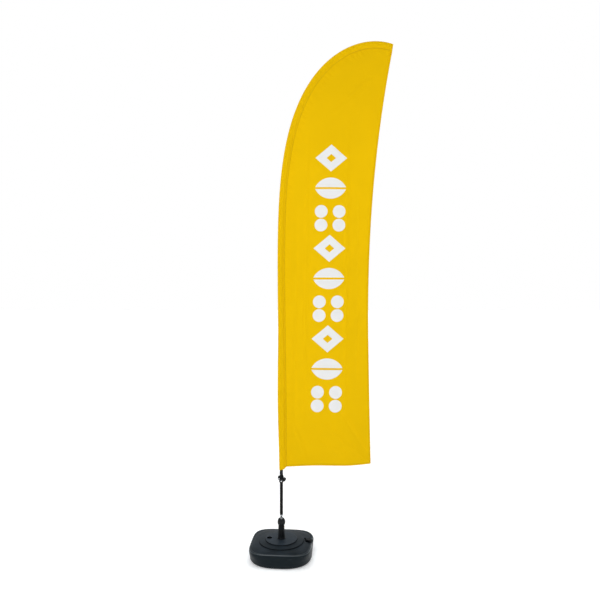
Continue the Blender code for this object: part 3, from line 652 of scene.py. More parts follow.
# ---- clamp: collet and nut -----------------------------------------------------------------------
# A split collet grips the spindle, squeezed by a domed nut with sixteen grip ribs. Both are moulded
# plastic; the nut is the glossier, and paler in patches where hands have rubbed it.
NUT_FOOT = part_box("clamp_nut")[0].z
NUT_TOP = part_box("clamp_nut")[1].z
NUT_RIBS = 16
nut_plastic = make_fitting_plastic("nut_plastic", 0.20, (0.012, 0.013, 0.014, 1), 0.5)
nut_line = loop_line(
    [
        (0.0144, NUT_FOOT), (0.0194, NUT_FOOT), (0.0212, NUT_FOOT + 0.0016),
        (0.0220, NUT_FOOT + 0.0085), (0.0221, NUT_FOOT + 0.0165), (0.0207, NUT_FOOT + 0.0255),
        (0.0180, NUT_TOP - 0.0035), (0.0144, NUT_TOP), (0.0088, NUT_TOP), (0.0088, 0.2150),
        (0.0144, 0.2150),
    ],
    0.0004, 0.0018,
)
nut = skin(
    "clamp_nut_ribbed",
    spin(nut_line, 256, swell=lambda r, a, z: (r > 0.0165) * ribbed(
        NUT_RIBS, 0.0011, NUT_FOOT + 0.001, NUT_TOP - 0.001, 0.0055)(r, a, z)),
    nut_plastic, "nut", loop=True,
)
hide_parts("clamp_nut")
dress("clamp_collet", fitting)


# ---- spindle and bearings ------------------------------------------------------------------------
# A turned and chromed steel spindle: a shank for the clamp, a polished cone, and a thin axle. Two
# small ball bearings sit on the axle, kept apart by a tube and held by a spring clip.
def make_metal(name, colour, roughness, rings):
    """Turned metal: fine tool rings around the axis, and hazy handling marks."""
    look, finish, place = start(name)
    haze = place.noise(70.0, 4.0)
    tool = place.noise(40.0, 3.0, (1.0, 1.0, rings))
    return complete(look, finish, {
        "Base Color": haze.blend(colour, tuple(0.9 * c for c in colour[:3]) + (1,)),
        "Roughness": roughness + haze * 0.08 + tool * 0.05,
        "Metallic": 1.0,
        "Normal": tool.bump(0.12, 0.0001),
    })


chrome = make_metal("chrome", (0.60, 0.61, 0.62, 1), 0.12, 60.0)
steel = make_metal("bearing_steel", (0.56, 0.57, 0.59, 1), 0.22, 90.0)
CONE_TOP = 0.2432
spindle_line = rounded(
    [
        (0.0, 0.1180), (0.0070, 0.1180), (0.0080, 0.1190), (0.0080, 0.2215), (0.0064, 0.2245),
        (0.0066, 0.2285), (0.0092, CONE_TOP - 0.0020), (0.0086, CONE_TOP), (0.0038, CONE_TOP),
        (0.0038, 0.2527), (0.0027, 0.2527), (0.0027, 0.3284), (0.0021, 0.3290), (0.0, 0.3290),
    ],
    0.0003, 0.0006,
)
spindle = skin("spindle_turned", spin(spindle_line, 96), chrome, "spindle")
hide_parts("spindle")
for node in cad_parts:
    if node.startswith("bearing_") or node == "axle_circlip":
        dress(node, steel)


# ---- rotor ---------------------------------------------------------------------------------------
# A plated sleeve that turns on the bearings. The mast drops over it and stands on its flange, so
# that the flag swings to point down the wind.
ROTOR_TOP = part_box("rotor_sleeve")[1].z
FLANGE_TOP = 0.2459
rotor_line = rounded(
    [
        (0.0, ROTOR_TOP - 0.0025), (0.0048, ROTOR_TOP - 0.0025), (0.0048, 0.3236),
        (0.0068, 0.3236), (0.0068, 0.2527), (0.0052, 0.2527), (0.0052, 0.2436), (0.0095, 0.2436),
        (0.0095, FLANGE_TOP), (0.0079, FLANGE_TOP), (0.0079, ROTOR_TOP - 0.0015),
        (0.0064, ROTOR_TOP), (0.0, ROTOR_TOP),
    ],
    0.0003, 0.0005,
)
rotor = skin("rotor_plated", spin(rotor_line, 96), chrome, "rotor")
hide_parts("rotor_sleeve")


# ---- mast ----------------------------------------------------------------------------------------
# Four rods pushed into each other: two drawn aluminium tubes, anodised black, then a thin tube and
# a solid tip of glass fibre with a rubber cap. They bend into one long curve inside the sleeve.
MAST_FOOT = 0.2462
MAST_LENGTH = 3.226
MAST_LEAN = 0.014
LEAN_START = 0.30
LEAN_RUN = 0.60
BEND_START = 0.60
TIP_ANGLE = np.radians(110)
BEND_POWER = 4.67
FIRST_TUBE_END = 0.85
FIRST_TUBE_R = 0.0095
FIRST_TUBE_BORE = 0.0082


def mast_line(distance):
    """The mast's centre (x, z) and its angle from upright, at distances along it.

    The angle is a power of the way along the bend, less a small lean that comes in low down. The
    centre is the running sum of the angle's sine and cosine.
    """
    fine = np.linspace(0.0, MAST_LENGTH, 4001)
    lean = MAST_LEAN * np.clip((fine - LEAN_START) / LEAN_RUN, 0.0, 1.0)
    share = np.clip((fine - BEND_START) / (MAST_LENGTH - BEND_START), 0.0, 1.0)
    angle = TIP_ANGLE * share**BEND_POWER - lean
    middle = (angle[1:] + angle[:-1]) / 2.0
    x = np.concatenate([[0.0], np.cumsum(np.sin(middle) * fine[1])])
    z = MAST_FOOT + np.concatenate([[0.0], np.cumsum(np.cos(middle) * fine[1])])
    return [np.interp(distance, fine, each) for each in (x, z, angle)]


def off_mast(distance, sideways, depth):
    """Points at a distance along the mast, moved sideways in its plane and by a depth in Y."""
    x, z, angle = mast_line(distance)
    x, z = x + sideways * np.cos(angle), z - sideways * np.sin(angle)
    return np.stack(np.broadcast_arrays(x, depth, z), axis=-1)


def make_mast_black():
    """Black anodised aluminium: satin, with fine lines from drawing and paler rubbed patches."""
    look, finish, place = start("mast_black")
    drawn = place.noise(60.0, 3.0, (30.0, 30.0, 0.3))
    rubbed = place.noise(25.0, 4.0, (6.0, 6.0, 0.6)).rise(0.55, 0.75)
    return complete(look, finish, {
        "Base Color": (rubbed * 0.3 + drawn * 0.2).blend(
            (0.0030, 0.0030, 0.0032, 1), (0.030, 0.030, 0.031, 1)
        ),
        "Roughness": 0.50 + rubbed * 0.15 + drawn * 0.1,
        "Specular IOR Level": 0.10,
        "Normal": drawn.bump(0.2, 0.0001),
    })


mast_black = make_mast_black()
stops = np.concatenate([
    np.linspace(0.0, 0.0006, 3), np.linspace(0.004, FIRST_TUBE_END - 0.0006, 110), [FIRST_TUBE_END],
])
chamfer = np.concatenate([[0.0005, 0.0002, 0.0], np.zeros(109), [0.0, 0.0005]])
inner_stops = np.linspace(FIRST_TUBE_END, 0.0, 20)
stations = np.concatenate([stops, inner_stops])
radii = np.concatenate([FIRST_TUBE_R - chamfer, np.full(20, FIRST_TUBE_BORE)])[:, None]
turn = circle(64)
tube_grid = off_mast(stations[:, None], radii * np.cos(turn), radii * np.sin(turn))
tube = skin("mast_foot_tube", tube_grid, mast_black, "mast", loop=True)
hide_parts("mast_section_1")

look, finish, place = start("glass_fibre")
strand = place.noise(30.0, 3.0, (20.0, 20.0, 1.0))
glass_fibre = complete(look, finish, {
    "Base Color": strand.blend((0.030, 0.031, 0.030, 1), (0.060, 0.062, 0.058, 1)),
    "Roughness": 0.40 + strand * 0.15,
    "Normal": strand.bump(0.2, 0.0002),
})
dress("mast_section_2", mast_black)
dress("mast_section_3", glass_fibre)
dress("mast_section_4", glass_fibre)
dress("mast_tip_cap", rubber)


# ---- flag: sleeve --------------------------------------------------------------------------------
# A pocket of the same knitted polyester as the flag, folded round the mast and sewn to the panel
# with two rows of stitches. It is open at its foot, and pressed flat and sewn shut at the tip.
SLEEVE_FOOT = 0.272
SLEEVE_SHOULDER = 0.2895
SLEEVE_END = 3.226
SLEEVE_OUTER = 0.013
SLEEVE_SLACK = 0.008
SLEEVE_CLOTH = 0.0006
SEAM = 0.033
TIP_PRESSED = 3.199
TIP_SLANT = 0.009            # how much further the end reaches at the seam than at the luff
YELLOW = (0.905, 0.545, 0.0015, 1)
WEAVE = 0.0005


def make_flag_cloth(name, painted_shade, printed=False):
    """Knitted polyester, dyed through: crossed threads and faint clouds.

    The UV map holds metres on the cloth. The shade function that is passed in paints shade:
    it darkens the cloth in places. The printed column of diamonds, lenses and discs keeps the
    white of the undyed cloth.
    """
    look, finish, place = start(name)
    uv = finish.node("UVMap", {"uv_map": "cloth"}, {})
    across = uv.part("X")
    along = uv.part("Y")
    knit = finish.math("SINE", across * (2.0 * np.pi / WEAVE))
    knit = knit * finish.math("SINE", along * (2.0 * np.pi / WEAVE))
    clouds = place.noise(5.0, 3.0)
    # Painted shade from the shade function, plus darker crossings of the knit and random clouds.
    painted_shade_and_tone = painted_shade(across, along) + (0.5 - knit * 0.5) * 0.05 + clouds * 0.05
    dyed = painted_shade_and_tone.blend(YELLOW, (0.0, 0.0, 0.0, 1))
    if printed:
        white = painted_shade_and_tone.blend((0.865, 0.855, 0.845, 1), (0.30, 0.30, 0.31, 1))
        dyed = ornament(finish, across, along).blend(dyed, white)
    return complete(look, finish, {
        "Base Color": dyed,
        "Roughness": 0.78 + clouds * 0.08,
        "Specular IOR Level": 0.03,
        "Sheen Weight": 0.01,
        "Normal": knit.bump(0.25, 0.00012),
    })


def sleeve_painted_shade(across, along):
    """Painted shade: the pocket is painted a little darker all over, darkest along its seam, and
    darker towards its top.
    """
    seam_painted_shade = 1.0 - abs(across).rise(0.004, 0.010)
    return 0.055 + seam_painted_shade * 0.09 + along.rise(1.9, 3.2) * 0.05


def sleeve_section(distance, inset, angle):
    """One cross-section: how far each point of it lies from the mast's axis, sideways and in Y.

    The nose at the luff is half an ellipse. The tail towards the panel is the other half, pressed
    flat near its end where the two layers are sewn together.
    """
    ramp = np.clip((distance - SLEEVE_FOOT) / (SLEEVE_SHOULDER - SLEEVE_FOOT), 0.0, 1.0)
    loose = np.sin(np.pi * np.clip((distance - 0.22) / 0.95, 0.0, 1.0)) ** 2
    outer = SLEEVE_OUTER + SLEEVE_SLACK * loose
    seam = 0.0135 + (SEAM - 0.0135) * ramp
    thick = 0.0125 - 0.0050 * distance / MAST_LENGTH
    cos, sin = np.cos(angle), np.sin(angle)
    sideways = np.where(cos < 0.0, outer - inset, seam - inset) * cos
    depth = (thick - inset) * sin * (1.0 - 0.25 * np.clip(cos, 0.0, 1.0))
    sewn = step_up(cos * seam, 0.0165, 0.0245) * ramp
    sewn = np.maximum(sewn, step_up(distance, TIP_PRESSED, SLEEVE_END - 0.004))
    flat = np.sign(sin) * (0.0012 - inset) * np.clip(4.0 * np.abs(sin), 0.0, 1.0)
    return sideways, depth + (flat - depth) * sewn


def sleeve_creases(distance, angle):
    """How far the cloth stands off its section: slanting slack folds low down, and seam puckers."""
    slack = step_up(distance, 0.30, 0.42) * step_up(distance, 1.25, 0.85)
    folds = np.sin(distance * 61.0 + 2.2 * np.sin(distance * 9.0) + 1.5 * np.cos(angle))
    pucker = np.sin(distance * 230.0 + 3.0 * np.sin(distance * 17.0))
    pucker = pucker * np.clip(np.cos(angle), 0, 1) ** 2
    stretch = np.sin(distance * 95.0 + 2.0 * np.sin(distance * 13.0 + angle))
    return 0.0011 * slack * folds + 0.0005 * pucker + 0.0003 * stretch


def sleeve_grid(distance, inset, angle):
    """The sleeve's skin at stations along the mast and angles around it; its end is cut aslant."""
    sideways, depth = sleeve_section(distance, inset, angle)
    free = np.clip(np.abs(depth) / 0.004, 0.0, 1.0)
    moved = depth + np.sign(depth) * sleeve_creases(distance, angle) * free
    bend = mast_line(distance)[2]
    slant = TIP_SLANT * step_up(distance, TIP_PRESSED, SLEEVE_END)
    slant = slant * (sideways + SLEEVE_OUTER) / (SEAM + SLEEVE_OUTER)
    ahead = [slant * np.sin(bend), 0.0 * slant, slant * np.cos(bend)]
    return off_mast(distance, sideways, moved) + np.stack(ahead, axis=-1)


stops = np.concatenate([
    np.linspace(SLEEVE_FOOT, SLEEVE_FOOT + 0.030, 14),
    np.linspace(SLEEVE_FOOT + 0.036, TIP_PRESSED, 460),
    np.linspace(TIP_PRESSED + 0.003, SLEEVE_END, 10),
])[:, None]
turn = circle(44)
outer_skin = sleeve_grid(stops, 0.0, turn)
sleeve_rings = np.concatenate([outer_skin[::-1], sleeve_grid(stops, SLEEVE_CLOTH, turn)])
closed_rings = np.concatenate([outer_skin, outer_skin[:, :1]], axis=1)
girth = np.linalg.norm(np.diff(closed_rings, axis=1), axis=-1)
girth = np.concatenate([np.zeros((len(stops), 1)), np.cumsum(girth, axis=1)], axis=1)
girth = np.where(girth > girth[:, -1:] / 2.0, girth - girth[:, -1:], girth)
sleeve_uv = np.stack([girth, np.broadcast_to(stops, girth.shape)], axis=-1)
sleeve_uv = np.concatenate([sleeve_uv[::-1], sleeve_uv, sleeve_uv[-1:]])
sleeve_cloth = make_flag_cloth("sleeve_cloth", sleeve_painted_shade)
sleeve = skin("sleeve_pocket", sleeve_rings, sleeve_cloth, "mast",
              loop=True, uv=sleeve_uv)
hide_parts("flag_sleeve")


# ---- flag: panel ---------------------------------------------------------------------------------
# The printed panel: one layer of knitted polyester from the sleeve's seam to the free edge, with a
# plain geometric column left white down its middle. It hangs nearly flat, pulled to its corners.
FLY_WAIST_X = 0.527
FLY_WAIST_Z = 1.44
FLY_FOOT_Z = 0.550
FLY_TOP_Z = 3.050
FLY_TOP_REACH = 0.144
FLY_FOOT_REACH = 0.015
BILLOW = 0.022
PANEL_CLOTH = 0.0006
TUCKED = 0.006               # how much of the panel lies between the sleeve's two layers
COLUMN_TOP = (0.304, 2.496)  # the middle of the white column's upper end, and of its lower end
COLUMN_FOOT = (0.270, 0.854)
COLUMN_HALF = 0.0965
MOTIFS = 9
DIAMOND_HALF = 0.082         # half the height of a diamond; its middle is left yellow
DIAMOND_HOLLOW = 0.30
DIAMOND_EDGE = 0.06          # turns a share of the diamond's size into metres
LENS_R = 0.104               # the lens is where two discs overlap, split by a band
LENS_DROP = 0.040
LENS_GAP_HALF = 0.006
DISC_R = 0.0385
DISC_OFF = (0.0545, 0.0415)


def ornament(finish, across, along):
    """1 on the white column: a diamond, a split lens and a square of discs, three times over."""
    lean = (COLUMN_TOP[0] - COLUMN_FOOT[0]) / (COLUMN_TOP[1] - COLUMN_FOOT[1])
    pitch = (COLUMN_TOP[1] - COLUMN_FOOT[1]) / MOTIFS
    down = (COLUMN_TOP[1] - along) / pitch
    count = finish.math("FLOOR", down)
    side = abs(across - COLUMN_TOP[0] + (COLUMN_TOP[1] - along) * lean)
    level = abs(down - count - 0.5) * pitch
    kind = finish.math("MODULO", count + 0.01, 3.0)

    def inside(distance):
        return 1.0 - (distance * 1000.0).rise(-0.6, 0.6)

    def length(a, b):
        return finish.math("SQRT", a * a + b * b)

    diamond = inside((side / COLUMN_HALF + level / DIAMOND_HALF - 1.0) * DIAMOND_EDGE)
    hollow = side / COLUMN_HALF + level / DIAMOND_HALF - DIAMOND_HOLLOW
    hollow = 1.0 - inside(hollow * DIAMOND_EDGE)
    lens = inside(length(side, level + LENS_DROP) - LENS_R) * (1.0 - inside(level - LENS_GAP_HALF))
    disc = inside(length(side - DISC_OFF[0], level - DISC_OFF[1]) - DISC_R)
    first = 1.0 - kind.rise(0.5, 0.6)
    last = kind.rise(1.5, 1.6)
    body = diamond * hollow * first + lens * (1.0 - first) * (1.0 - last) + disc * last
    return body * down.rise(0.0, 0.001) * (1.0 - down.rise(MOTIFS - 0.001, MOTIFS))


def panel_painted_shade(across, along):
    """Painted shade: the top of the flag is painted a little darker than its middle, and so is its
    foot.
    """
    return along.rise(2.2, 3.1) * 0.075 + (1.0 - along.rise(0.5, 1.1)) * 0.035


def fly_edge(height):
    """The free edge's X: a waist, reaching out above it and a little below it."""
    above = np.clip((height - FLY_WAIST_Z) / (FLY_TOP_Z - FLY_WAIST_Z), 0.0, 1.0)
    below = np.clip((FLY_WAIST_Z - height) / (FLY_WAIST_Z - FLY_FOOT_Z), 0.0, 1.0)
    return FLY_WAIST_X + FLY_TOP_REACH * above**2.15 + FLY_FOOT_REACH * below**1.2


def fold(x, z, start, end, width):
    """A soft ridge along the line from start to end, fading at both ends."""
    run = np.array(end) - np.array(start)
    length = np.hypot(*run)
    along = ((x - start[0]) * run[0] + (z - start[1]) * run[1]) / length
    off = ((x - start[0]) * run[1] - (z - start[1]) * run[0]) / length
    fade = np.sin(np.pi * np.clip(along / length, 0.0, 1.0)) ** 0.7
    return np.exp(-((off / width) ** 2)) * fade


PANEL_FOLDS = (
    #  start (x, z), end (x, z), half width, height
    ((0.160, 2.62), (0.135, 0.75), 0.010, 0.0027),
    ((0.400, 2.70), (0.385, 0.72), 0.012, 0.0031),
    ((0.470, 2.20), (0.455, 0.95), 0.009, -0.0020),
    ((0.095, 2.10), (0.075, 0.60), 0.008, -0.0020),
    ((0.250, 0.80), (0.530, 0.565), 0.008, 0.0037),
    ((0.320, 0.92), (0.535, 0.590), 0.009, -0.0027),
    ((0.200, 0.70), (0.500, 0.560), 0.007, 0.0026),
    ((0.400, 1.36), (0.520, 1.52), 0.008, 0.0027),
    ((0.380, 1.70), (0.520, 1.95), 0.011, 0.0024),
    ((0.060, 0.84), (0.150, 0.58), 0.008, 0.0024),
    ((0.300, 2.66), (0.600, 2.95), 0.012, 0.0027),
)


def panel_point(u, v):
    """The panel at u across it, from seam to free edge, and v up it.

    Straight lines run from the seam to the free edge. Off that plane in Y stand the slow swing of
    the free edge, the folds, puckers that fade away from the seam, and a small ripple at the hem.
    """
    distance = SLEEVE_SHOULDER + v * (SLEEVE_END - SLEEVE_SHOULDER)
    seam = off_mast(distance, SEAM - TUCKED, 0.0)
    fly_z = FLY_FOOT_Z + v * (FLY_TOP_Z - FLY_FOOT_Z)
    x = seam[..., 0] + u * (fly_edge(fly_z) - seam[..., 0])
    z = seam[..., 2] + u * (fly_z - seam[..., 2])
    y = BILLOW * u * (1.0 - 0.8 * v) * np.sin(2.2 * np.pi * u + 1.1 * np.pi * v)
    free = step_up(u, 0.02, 0.09)
    for first, last, width, high in PANEL_FOLDS:
        y = y - high * fold(x, z, first, last, width) * free
    across = u * (fly_edge(fly_z) - seam[..., 0])
    pucker = np.sin(distance * 150.0 + 2.5 * np.sin(distance * 23.0))
    y = y + 0.0009 * pucker * np.exp(-(((across - 0.018) / 0.016) ** 2))
    hem = (1.0 - u) * fly_edge(fly_z)
    y = y + 0.0007 * np.sin(z * 120.0 + 2.0 * np.sin(z * 31.0)) * np.exp(-((hem / 0.020) ** 2))
    return np.stack([x, y, z], axis=-1)


def surface_frame(u, v):
    """The panel's points and its unit normals at (u, v), by differences on either side."""
    tiny = 1e-4
    across = panel_point(np.minimum(u + tiny, 1.0), v) - panel_point(np.maximum(u - tiny, 0.0), v)
    along = panel_point(u, np.minimum(v + tiny, 1.0)) - panel_point(u, np.maximum(v - tiny, 0.0))
    normal = np.cross(across, along)
    return panel_point(u, v), normal / np.linalg.norm(normal, axis=-1, keepdims=True)


def cloth_sheet(name, u, v, thickness, look):
    """A sheet with two faces that share their edge: each stands half the thickness off (u, v)."""
    middle, normal = surface_frame(u, v)
    rows, columns = u.shape
    rim = np.zeros((rows, columns), bool)
    rim[[0, -1], :] = True
    rim[:, [0, -1]] = True
    lift = (normal * thickness / 2.0) * ~rim[..., None]
    front = np.arange(rows * columns).reshape(rows, columns)
    back = np.where(rim, front, 0)
    back[~rim] = rows * columns + np.arange((~rim).sum())
    points = np.concatenate([(middle + lift).reshape(-1, 3), (middle - lift)[~rim]])
    uv = quads(middle[..., [0, 2]])
    near, far = quads(front), quads(back)[:, :, ::-1]
    faces = np.concatenate([near.reshape(-1, 4), far.reshape(-1, 4)]).tolist()
    corners = np.concatenate([uv.reshape(-1, 2), uv[:, :, ::-1].reshape(-1, 2)])
    return piece(name, points, faces, look, "mast", corners)


panel_cloth = make_flag_cloth("panel_cloth", panel_painted_shade, printed=True)
share = np.linspace(0.0, 1.0, 96)
panel_u, panel_v = np.meshgrid(share, 1.0 - (1.0 - np.linspace(0.0, 1.0, 380)) ** 1.15)
panel = cloth_sheet("panel_sheet", panel_u, panel_v, PANEL_CLOTH, panel_cloth)
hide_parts("flag_panel")


# ---- flag: hems ----------------------------------------------------------------------------------
# The free edge and the foot of the panel are folded over twice, which makes a narrow band of
# thicker cloth round the edge; the fold is sewn down with one row of stitches.
HEM = 0.012
HEM_CLOTH = 0.0005
# Painted shade: the hem's colour is darkened by a fixed 0.10 along its whole length.
hem_cloth = make_flag_cloth("hem_cloth", lambda across, along: across * 0.0 + 0.10)


def hem_band(name, u, v, inward):
    """A band folded round an edge of the panel.

    Its section is a narrow U, carried along the edge: a flat leg on each side, as far in as the
    hem is wide, and a small turn just outside the edge. inward is the way from the edge, per row.
    """
    middle, normal = surface_frame(u, v)
    out = PANEL_CLOTH / 2.0 + HEM_CLOTH
    leg = [(HEM, out - 0.0003), (HEM - 0.0010, out), (0.0006, out), (-0.0004, out * 0.6)]
    turn = [(-0.0007, 0.0)]
    inside = [(HEM, -0.0002), (0.0006, -0.0002), (0.0006, 0.0002), (HEM, 0.0002)]
    section = np.array(leg + turn + [(w, -n) for w, n in leg[::-1]] + inside)
    grid = middle[:, None] + section[:, :1] * inward[:, None] + section[:, 1:] * normal[:, None]
    run = walked(middle)
    width = np.append(section[:, 0], section[0, 0])
    uv = np.stack(np.meshgrid(width, run), axis=-1)
    return skin(name, grid, hem_cloth, "mast", flat_ends=True, uv=uv)


def unit(vectors):
    """Vectors of length 1."""
    return vectors / np.linalg.norm(vectors, axis=-1, keepdims=True)


up_the_fly = np.linspace(0.0, 1.0, 460)
along_the_foot = np.linspace(0.012, 1.0, 130)
fly_end = np.ones_like(up_the_fly)
foot_end = np.zeros_like(along_the_foot)
fly_inward = unit(panel_point(fly_end - 0.01, up_the_fly) - panel_point(fly_end, up_the_fly))
foot_inward = panel_point(along_the_foot, foot_end + 0.004)
foot_inward = unit(foot_inward - panel_point(along_the_foot, foot_end))
fly_hem = hem_band("fly_hem", fly_end, up_the_fly, fly_inward)
foot_hem = hem_band("foot_hem", along_the_foot, foot_end, foot_inward)


# ---- flag: stitching -----------------------------------------------------------------------------
# Lockstitch in polyester thread: one row along each hem and round the sleeve's foot, and two along
# the seam, on both sides of the cloth. Each stitch is a small pointed bead, half sunk in the cloth.
STITCH_PITCH = 0.0045
STITCH_HALF = 0.0017
STITCH_WIDTH = 0.00028
HEM_ROW = 0.0090
SEAM_ROWS = (0.0302, 0.0262)
SEAM_LIFT = 0.00125          # from the middle of the seam to a stitch on its face


def stitches(path, normal):
    """Beads along a path that is fine enough to measure: each has two ends, two sides, a top
    and a bottom, laid out along the path, across it, and on the cloth's normal."""
    run = walked(path)
    spots = np.arange(STITCH_PITCH / 2.0, run[-1], STITCH_PITCH)
    lines = (path, normal, np.gradient(path, axis=0))
    middle, out, ahead = (read_off(spots, run, line) for line in lines)
    ahead, out = unit(ahead), unit(out)
    across = np.cross(ahead, out)
    points = np.stack(
        [
            middle - STITCH_HALF * ahead - 0.0001 * out,
            middle + STITCH_HALF * ahead - 0.0001 * out,
            middle - STITCH_WIDTH * across,
            middle + STITCH_WIDTH * across,
            middle + 0.00028 * out,
            middle - 0.00025 * out,
        ],
        axis=1,
    )
    return points.reshape(-1, 3)


def hem_row(u, v, inward, side):
    """A row of stitches in a hem, on one side of the panel."""
    middle, normal = surface_frame(u, v)
    lift = PANEL_CLOTH / 2.0 + HEM_CLOTH
    return stitches(middle + HEM_ROW * inward + side * lift * normal, side * normal)


def seam_row(sideways, side):
    """A row along the seam, on one side of the sleeve's flat flange."""
    stations = np.linspace(SLEEVE_SHOULDER + 0.004, SLEEVE_END - 0.004, 700)
    path = off_mast(stations, sideways, side * SEAM_LIFT)
    return stitches(path, np.array([[0.0, side, 0.0]]) * np.ones((700, 1)))


def foot_row():
    """A row round the sleeve's foot, above its open end."""
    around = np.linspace(0.0, 2.0 * np.pi, 120)
    ring = sleeve_grid(np.array([[SLEEVE_FOOT + 0.011]]), -0.0001, around[None, :])[0]
    centre = ring[:-1].mean(axis=0)
    return stitches(ring, unit((ring - centre) * (1.0, 1.0, 0.0)))


rows = [seam_row(sideways, side) for sideways in SEAM_ROWS for side in (-1.0, 1.0)]
rows += [hem_row(fly_end, up_the_fly, fly_inward, side) for side in (-1.0, 1.0)]
rows += [hem_row(along_the_foot, foot_end, foot_inward, side) for side in (-1.0, 1.0)]
beads = np.concatenate(rows + [foot_row()])
BEAD = np.array([
    (0, 2, 4), (2, 1, 4), (1, 3, 4), (3, 0, 4), (2, 0, 5), (1, 2, 5), (3, 1, 5), (0, 3, 5),
])
bead_faces = (np.arange(len(beads) // 6)[:, None, None] * 6 + BEAD).reshape(-1, 3)
look, finish, place = start("sewing_thread")
ply = place.noise(1500.0, 1.0)
thread = complete(look, finish, {
    "Base Color": ply.blend((0.70, 0.40, 0.004, 1), (0.88, 0.53, 0.010, 1)),
    "Roughness": 0.45 + ply * 0.2,
})
stitching = piece("flag_stitching", beads, bead_faces.tolist(), thread, "mast")


# ---- webbing tab ---------------------------------------------------------------------------------
# A short tab of black polypropylene webbing, sewn into the sleeve's foot, with a blacked eyelet at
# its lower end. The elastic cord pulls the whole sleeve down by it.
TAB_LOW, TAB_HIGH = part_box("webbing_tab")
TAB_RIB = 0.0016
TAB_END_R = 0.0012
TAB_WEAVE = 0.00012


def make_woven_black(name, colour, pale, rib=None):
    """Coarse black yarn: dull, furry, greyer where it has been rubbed.

    With a rib's width, the yarns of flat webbing cross in a basket weave in X and Z.
    """
    look, finish, place = start(name)
    yarn = place.noise(900.0, 2.0)
    rubbed = place.noise(120.0, 3.0).rise(0.5, 0.8)
    if rib:
        sides = [place.part(axis) for axis in "XZ"]
        waves = [finish.math("SINE", side * (2.0 * np.pi / rib)) for side in sides]
        yarn = yarn * 0.35 + 0.33 + waves[0] * waves[1] * 0.33
    return complete(look, finish, {
        "Base Color": (rubbed * 0.4 + yarn * 0.35).blend(colour, pale),
        "Roughness": 0.75 + yarn * 0.2,
        "Normal": yarn.bump(0.6, 0.0003),
    })


webbing = make_woven_black(
    "webbing_black", (0.005, 0.005, 0.006, 1), (0.045, 0.046, 0.050, 1), TAB_RIB
)
turn = circle(96)
level = np.linspace(TAB_LOW.z, TAB_HIGH.z, 140)[:, None]
tab_half = (TAB_HIGH - TAB_LOW) / 2.0
tab_middle = (TAB_HIGH + TAB_LOW) / 2.0
over_end = ((TAB_LOW.z + TAB_END_R - level) / TAB_END_R).clip(0.0, 1.0)
round_end = np.sqrt(np.clip(1.0 - over_end**2, 0.04, 1.0))
flat = [np.sign(way) * np.abs(way) ** 0.3 for way in (np.cos(turn), np.sin(turn))]
weave = TAB_WEAVE * np.sin(2.0 * np.pi * level / TAB_RIB)
weave = weave * np.sin(2.0 * np.pi * flat[0] * tab_half.x / TAB_RIB)
tab_grid = np.stack(
    [
        tab_middle.x + tab_half.x * flat[0] * (0.96 + 0.04 * round_end),
        tab_middle.y + (tab_half.y - TAB_WEAVE + weave) * flat[1] * round_end,
        level + 0.0 * flat[0],
    ],
    axis=-1,
)
tab = skin("webbing_tab_woven", tab_grid, webbing, "mast")
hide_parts("webbing_tab")

EYELET_HEIGHT = TAB_LOW.z + 0.0048


def facing_front(grid, y, height):
    """A spun shape tipped forwards: its axis points to -Y from y, at a height."""
    return np.stack([grid[..., 0], y - grid[..., 2], height + grid[..., 1]], axis=-1)


eyelet_line = loop_line(
    [(0.0023, -0.0004), (0.0023, 0.0006), (0.0030, 0.0011), (0.0042, 0.0009), (0.0046, 0.0),
     (0.0046, -0.0004)],
    0.0001, 0.0005,
)
eyelet_grid = facing_front(spin(eyelet_line, 72), TAB_LOW.y, EYELET_HEIGHT)
dark_steel = make_metal("blackened_steel", (0.060, 0.062, 0.066, 1), 0.30, 1.0)
skin("tab_eyelet", eyelet_grid, dark_steel, "mast", loop=True)


# ---- tension cord --------------------------------------------------------------------------------
# Braided elastic cord, 4.4 mm thick: it runs from the tab's eyelet round the clip's guide to the
# horn, where a knot stops it. Pulling the clip down stretches it.
CORD_R = 0.0022
CORD_TWIST = 0.0066
KNOT_STEPS = 200
KNOT_SIDES = 20
KNOT_SIZE = (0.0021, 0.0019)
KNOT_CORD_R = 0.00135
CORD_ROUTE = (
    (0.0000, -0.0120, 0.4946), (-0.0012, -0.0152, 0.4915), (-0.0030, -0.0155, 0.4885),
    (-0.0095, -0.0165, 0.4840), (-0.0165, -0.0140, 0.4780), (-0.0205, -0.0090, 0.4710),
    (-0.0195, -0.0110, 0.4640), (-0.0120, -0.0160, 0.4600), (-0.0030, -0.0175, 0.4600),
    (0.0060, -0.0165, 0.4625), (0.0140, -0.0125, 0.4660), (0.0195, -0.0085, 0.4690),
)


def tube_along(path, radius, sides, reference):
    """Carry a circle along a path: its plane is square to the path, turned by a reference way."""
    ahead = unit(np.gradient(path, axis=0))
    side = unit(np.cross(ahead, reference))
    over = np.cross(side, ahead)
    angle = circle(sides)[None, :, None]
    reach = side[:, None] * np.cos(angle) + over[:, None] * np.sin(angle)
    return path[:, None] + radius[..., None] * reach


def braided(path, radius, sides):
    """The radius of a braid: two sets of six strands that wind in opposite ways and cross."""
    run = walked(path)[:, None]
    angle = circle(sides)[None, :]
    one = np.sin(6.0 * angle + 2.0 * np.pi * run / CORD_TWIST * 2.0)
    other = np.sin(6.0 * angle - 2.0 * np.pi * run / CORD_TWIST * 2.0)
    ends = np.sqrt(np.clip(np.minimum(run, run[-1] - run) / radius, 0.02, 1.0))
    return radius * (0.90 + 0.12 * np.maximum(one, other)) * ends


cord_black = make_woven_black("cord_black", (0.008, 0.008, 0.010, 1), (0.060, 0.061, 0.068, 1))
cord_path = rounded(CORD_ROUTE, 0.0004, 0.0045, (0, 1, 2))
cord_grid = tube_along(cord_path, braided(cord_path, CORD_R, 36), 36, (0.0, 1.0, 0.0))
cord = skin("tension_cord_braided", cord_grid, cord_black, None)
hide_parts("tension_cord")
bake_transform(cord)

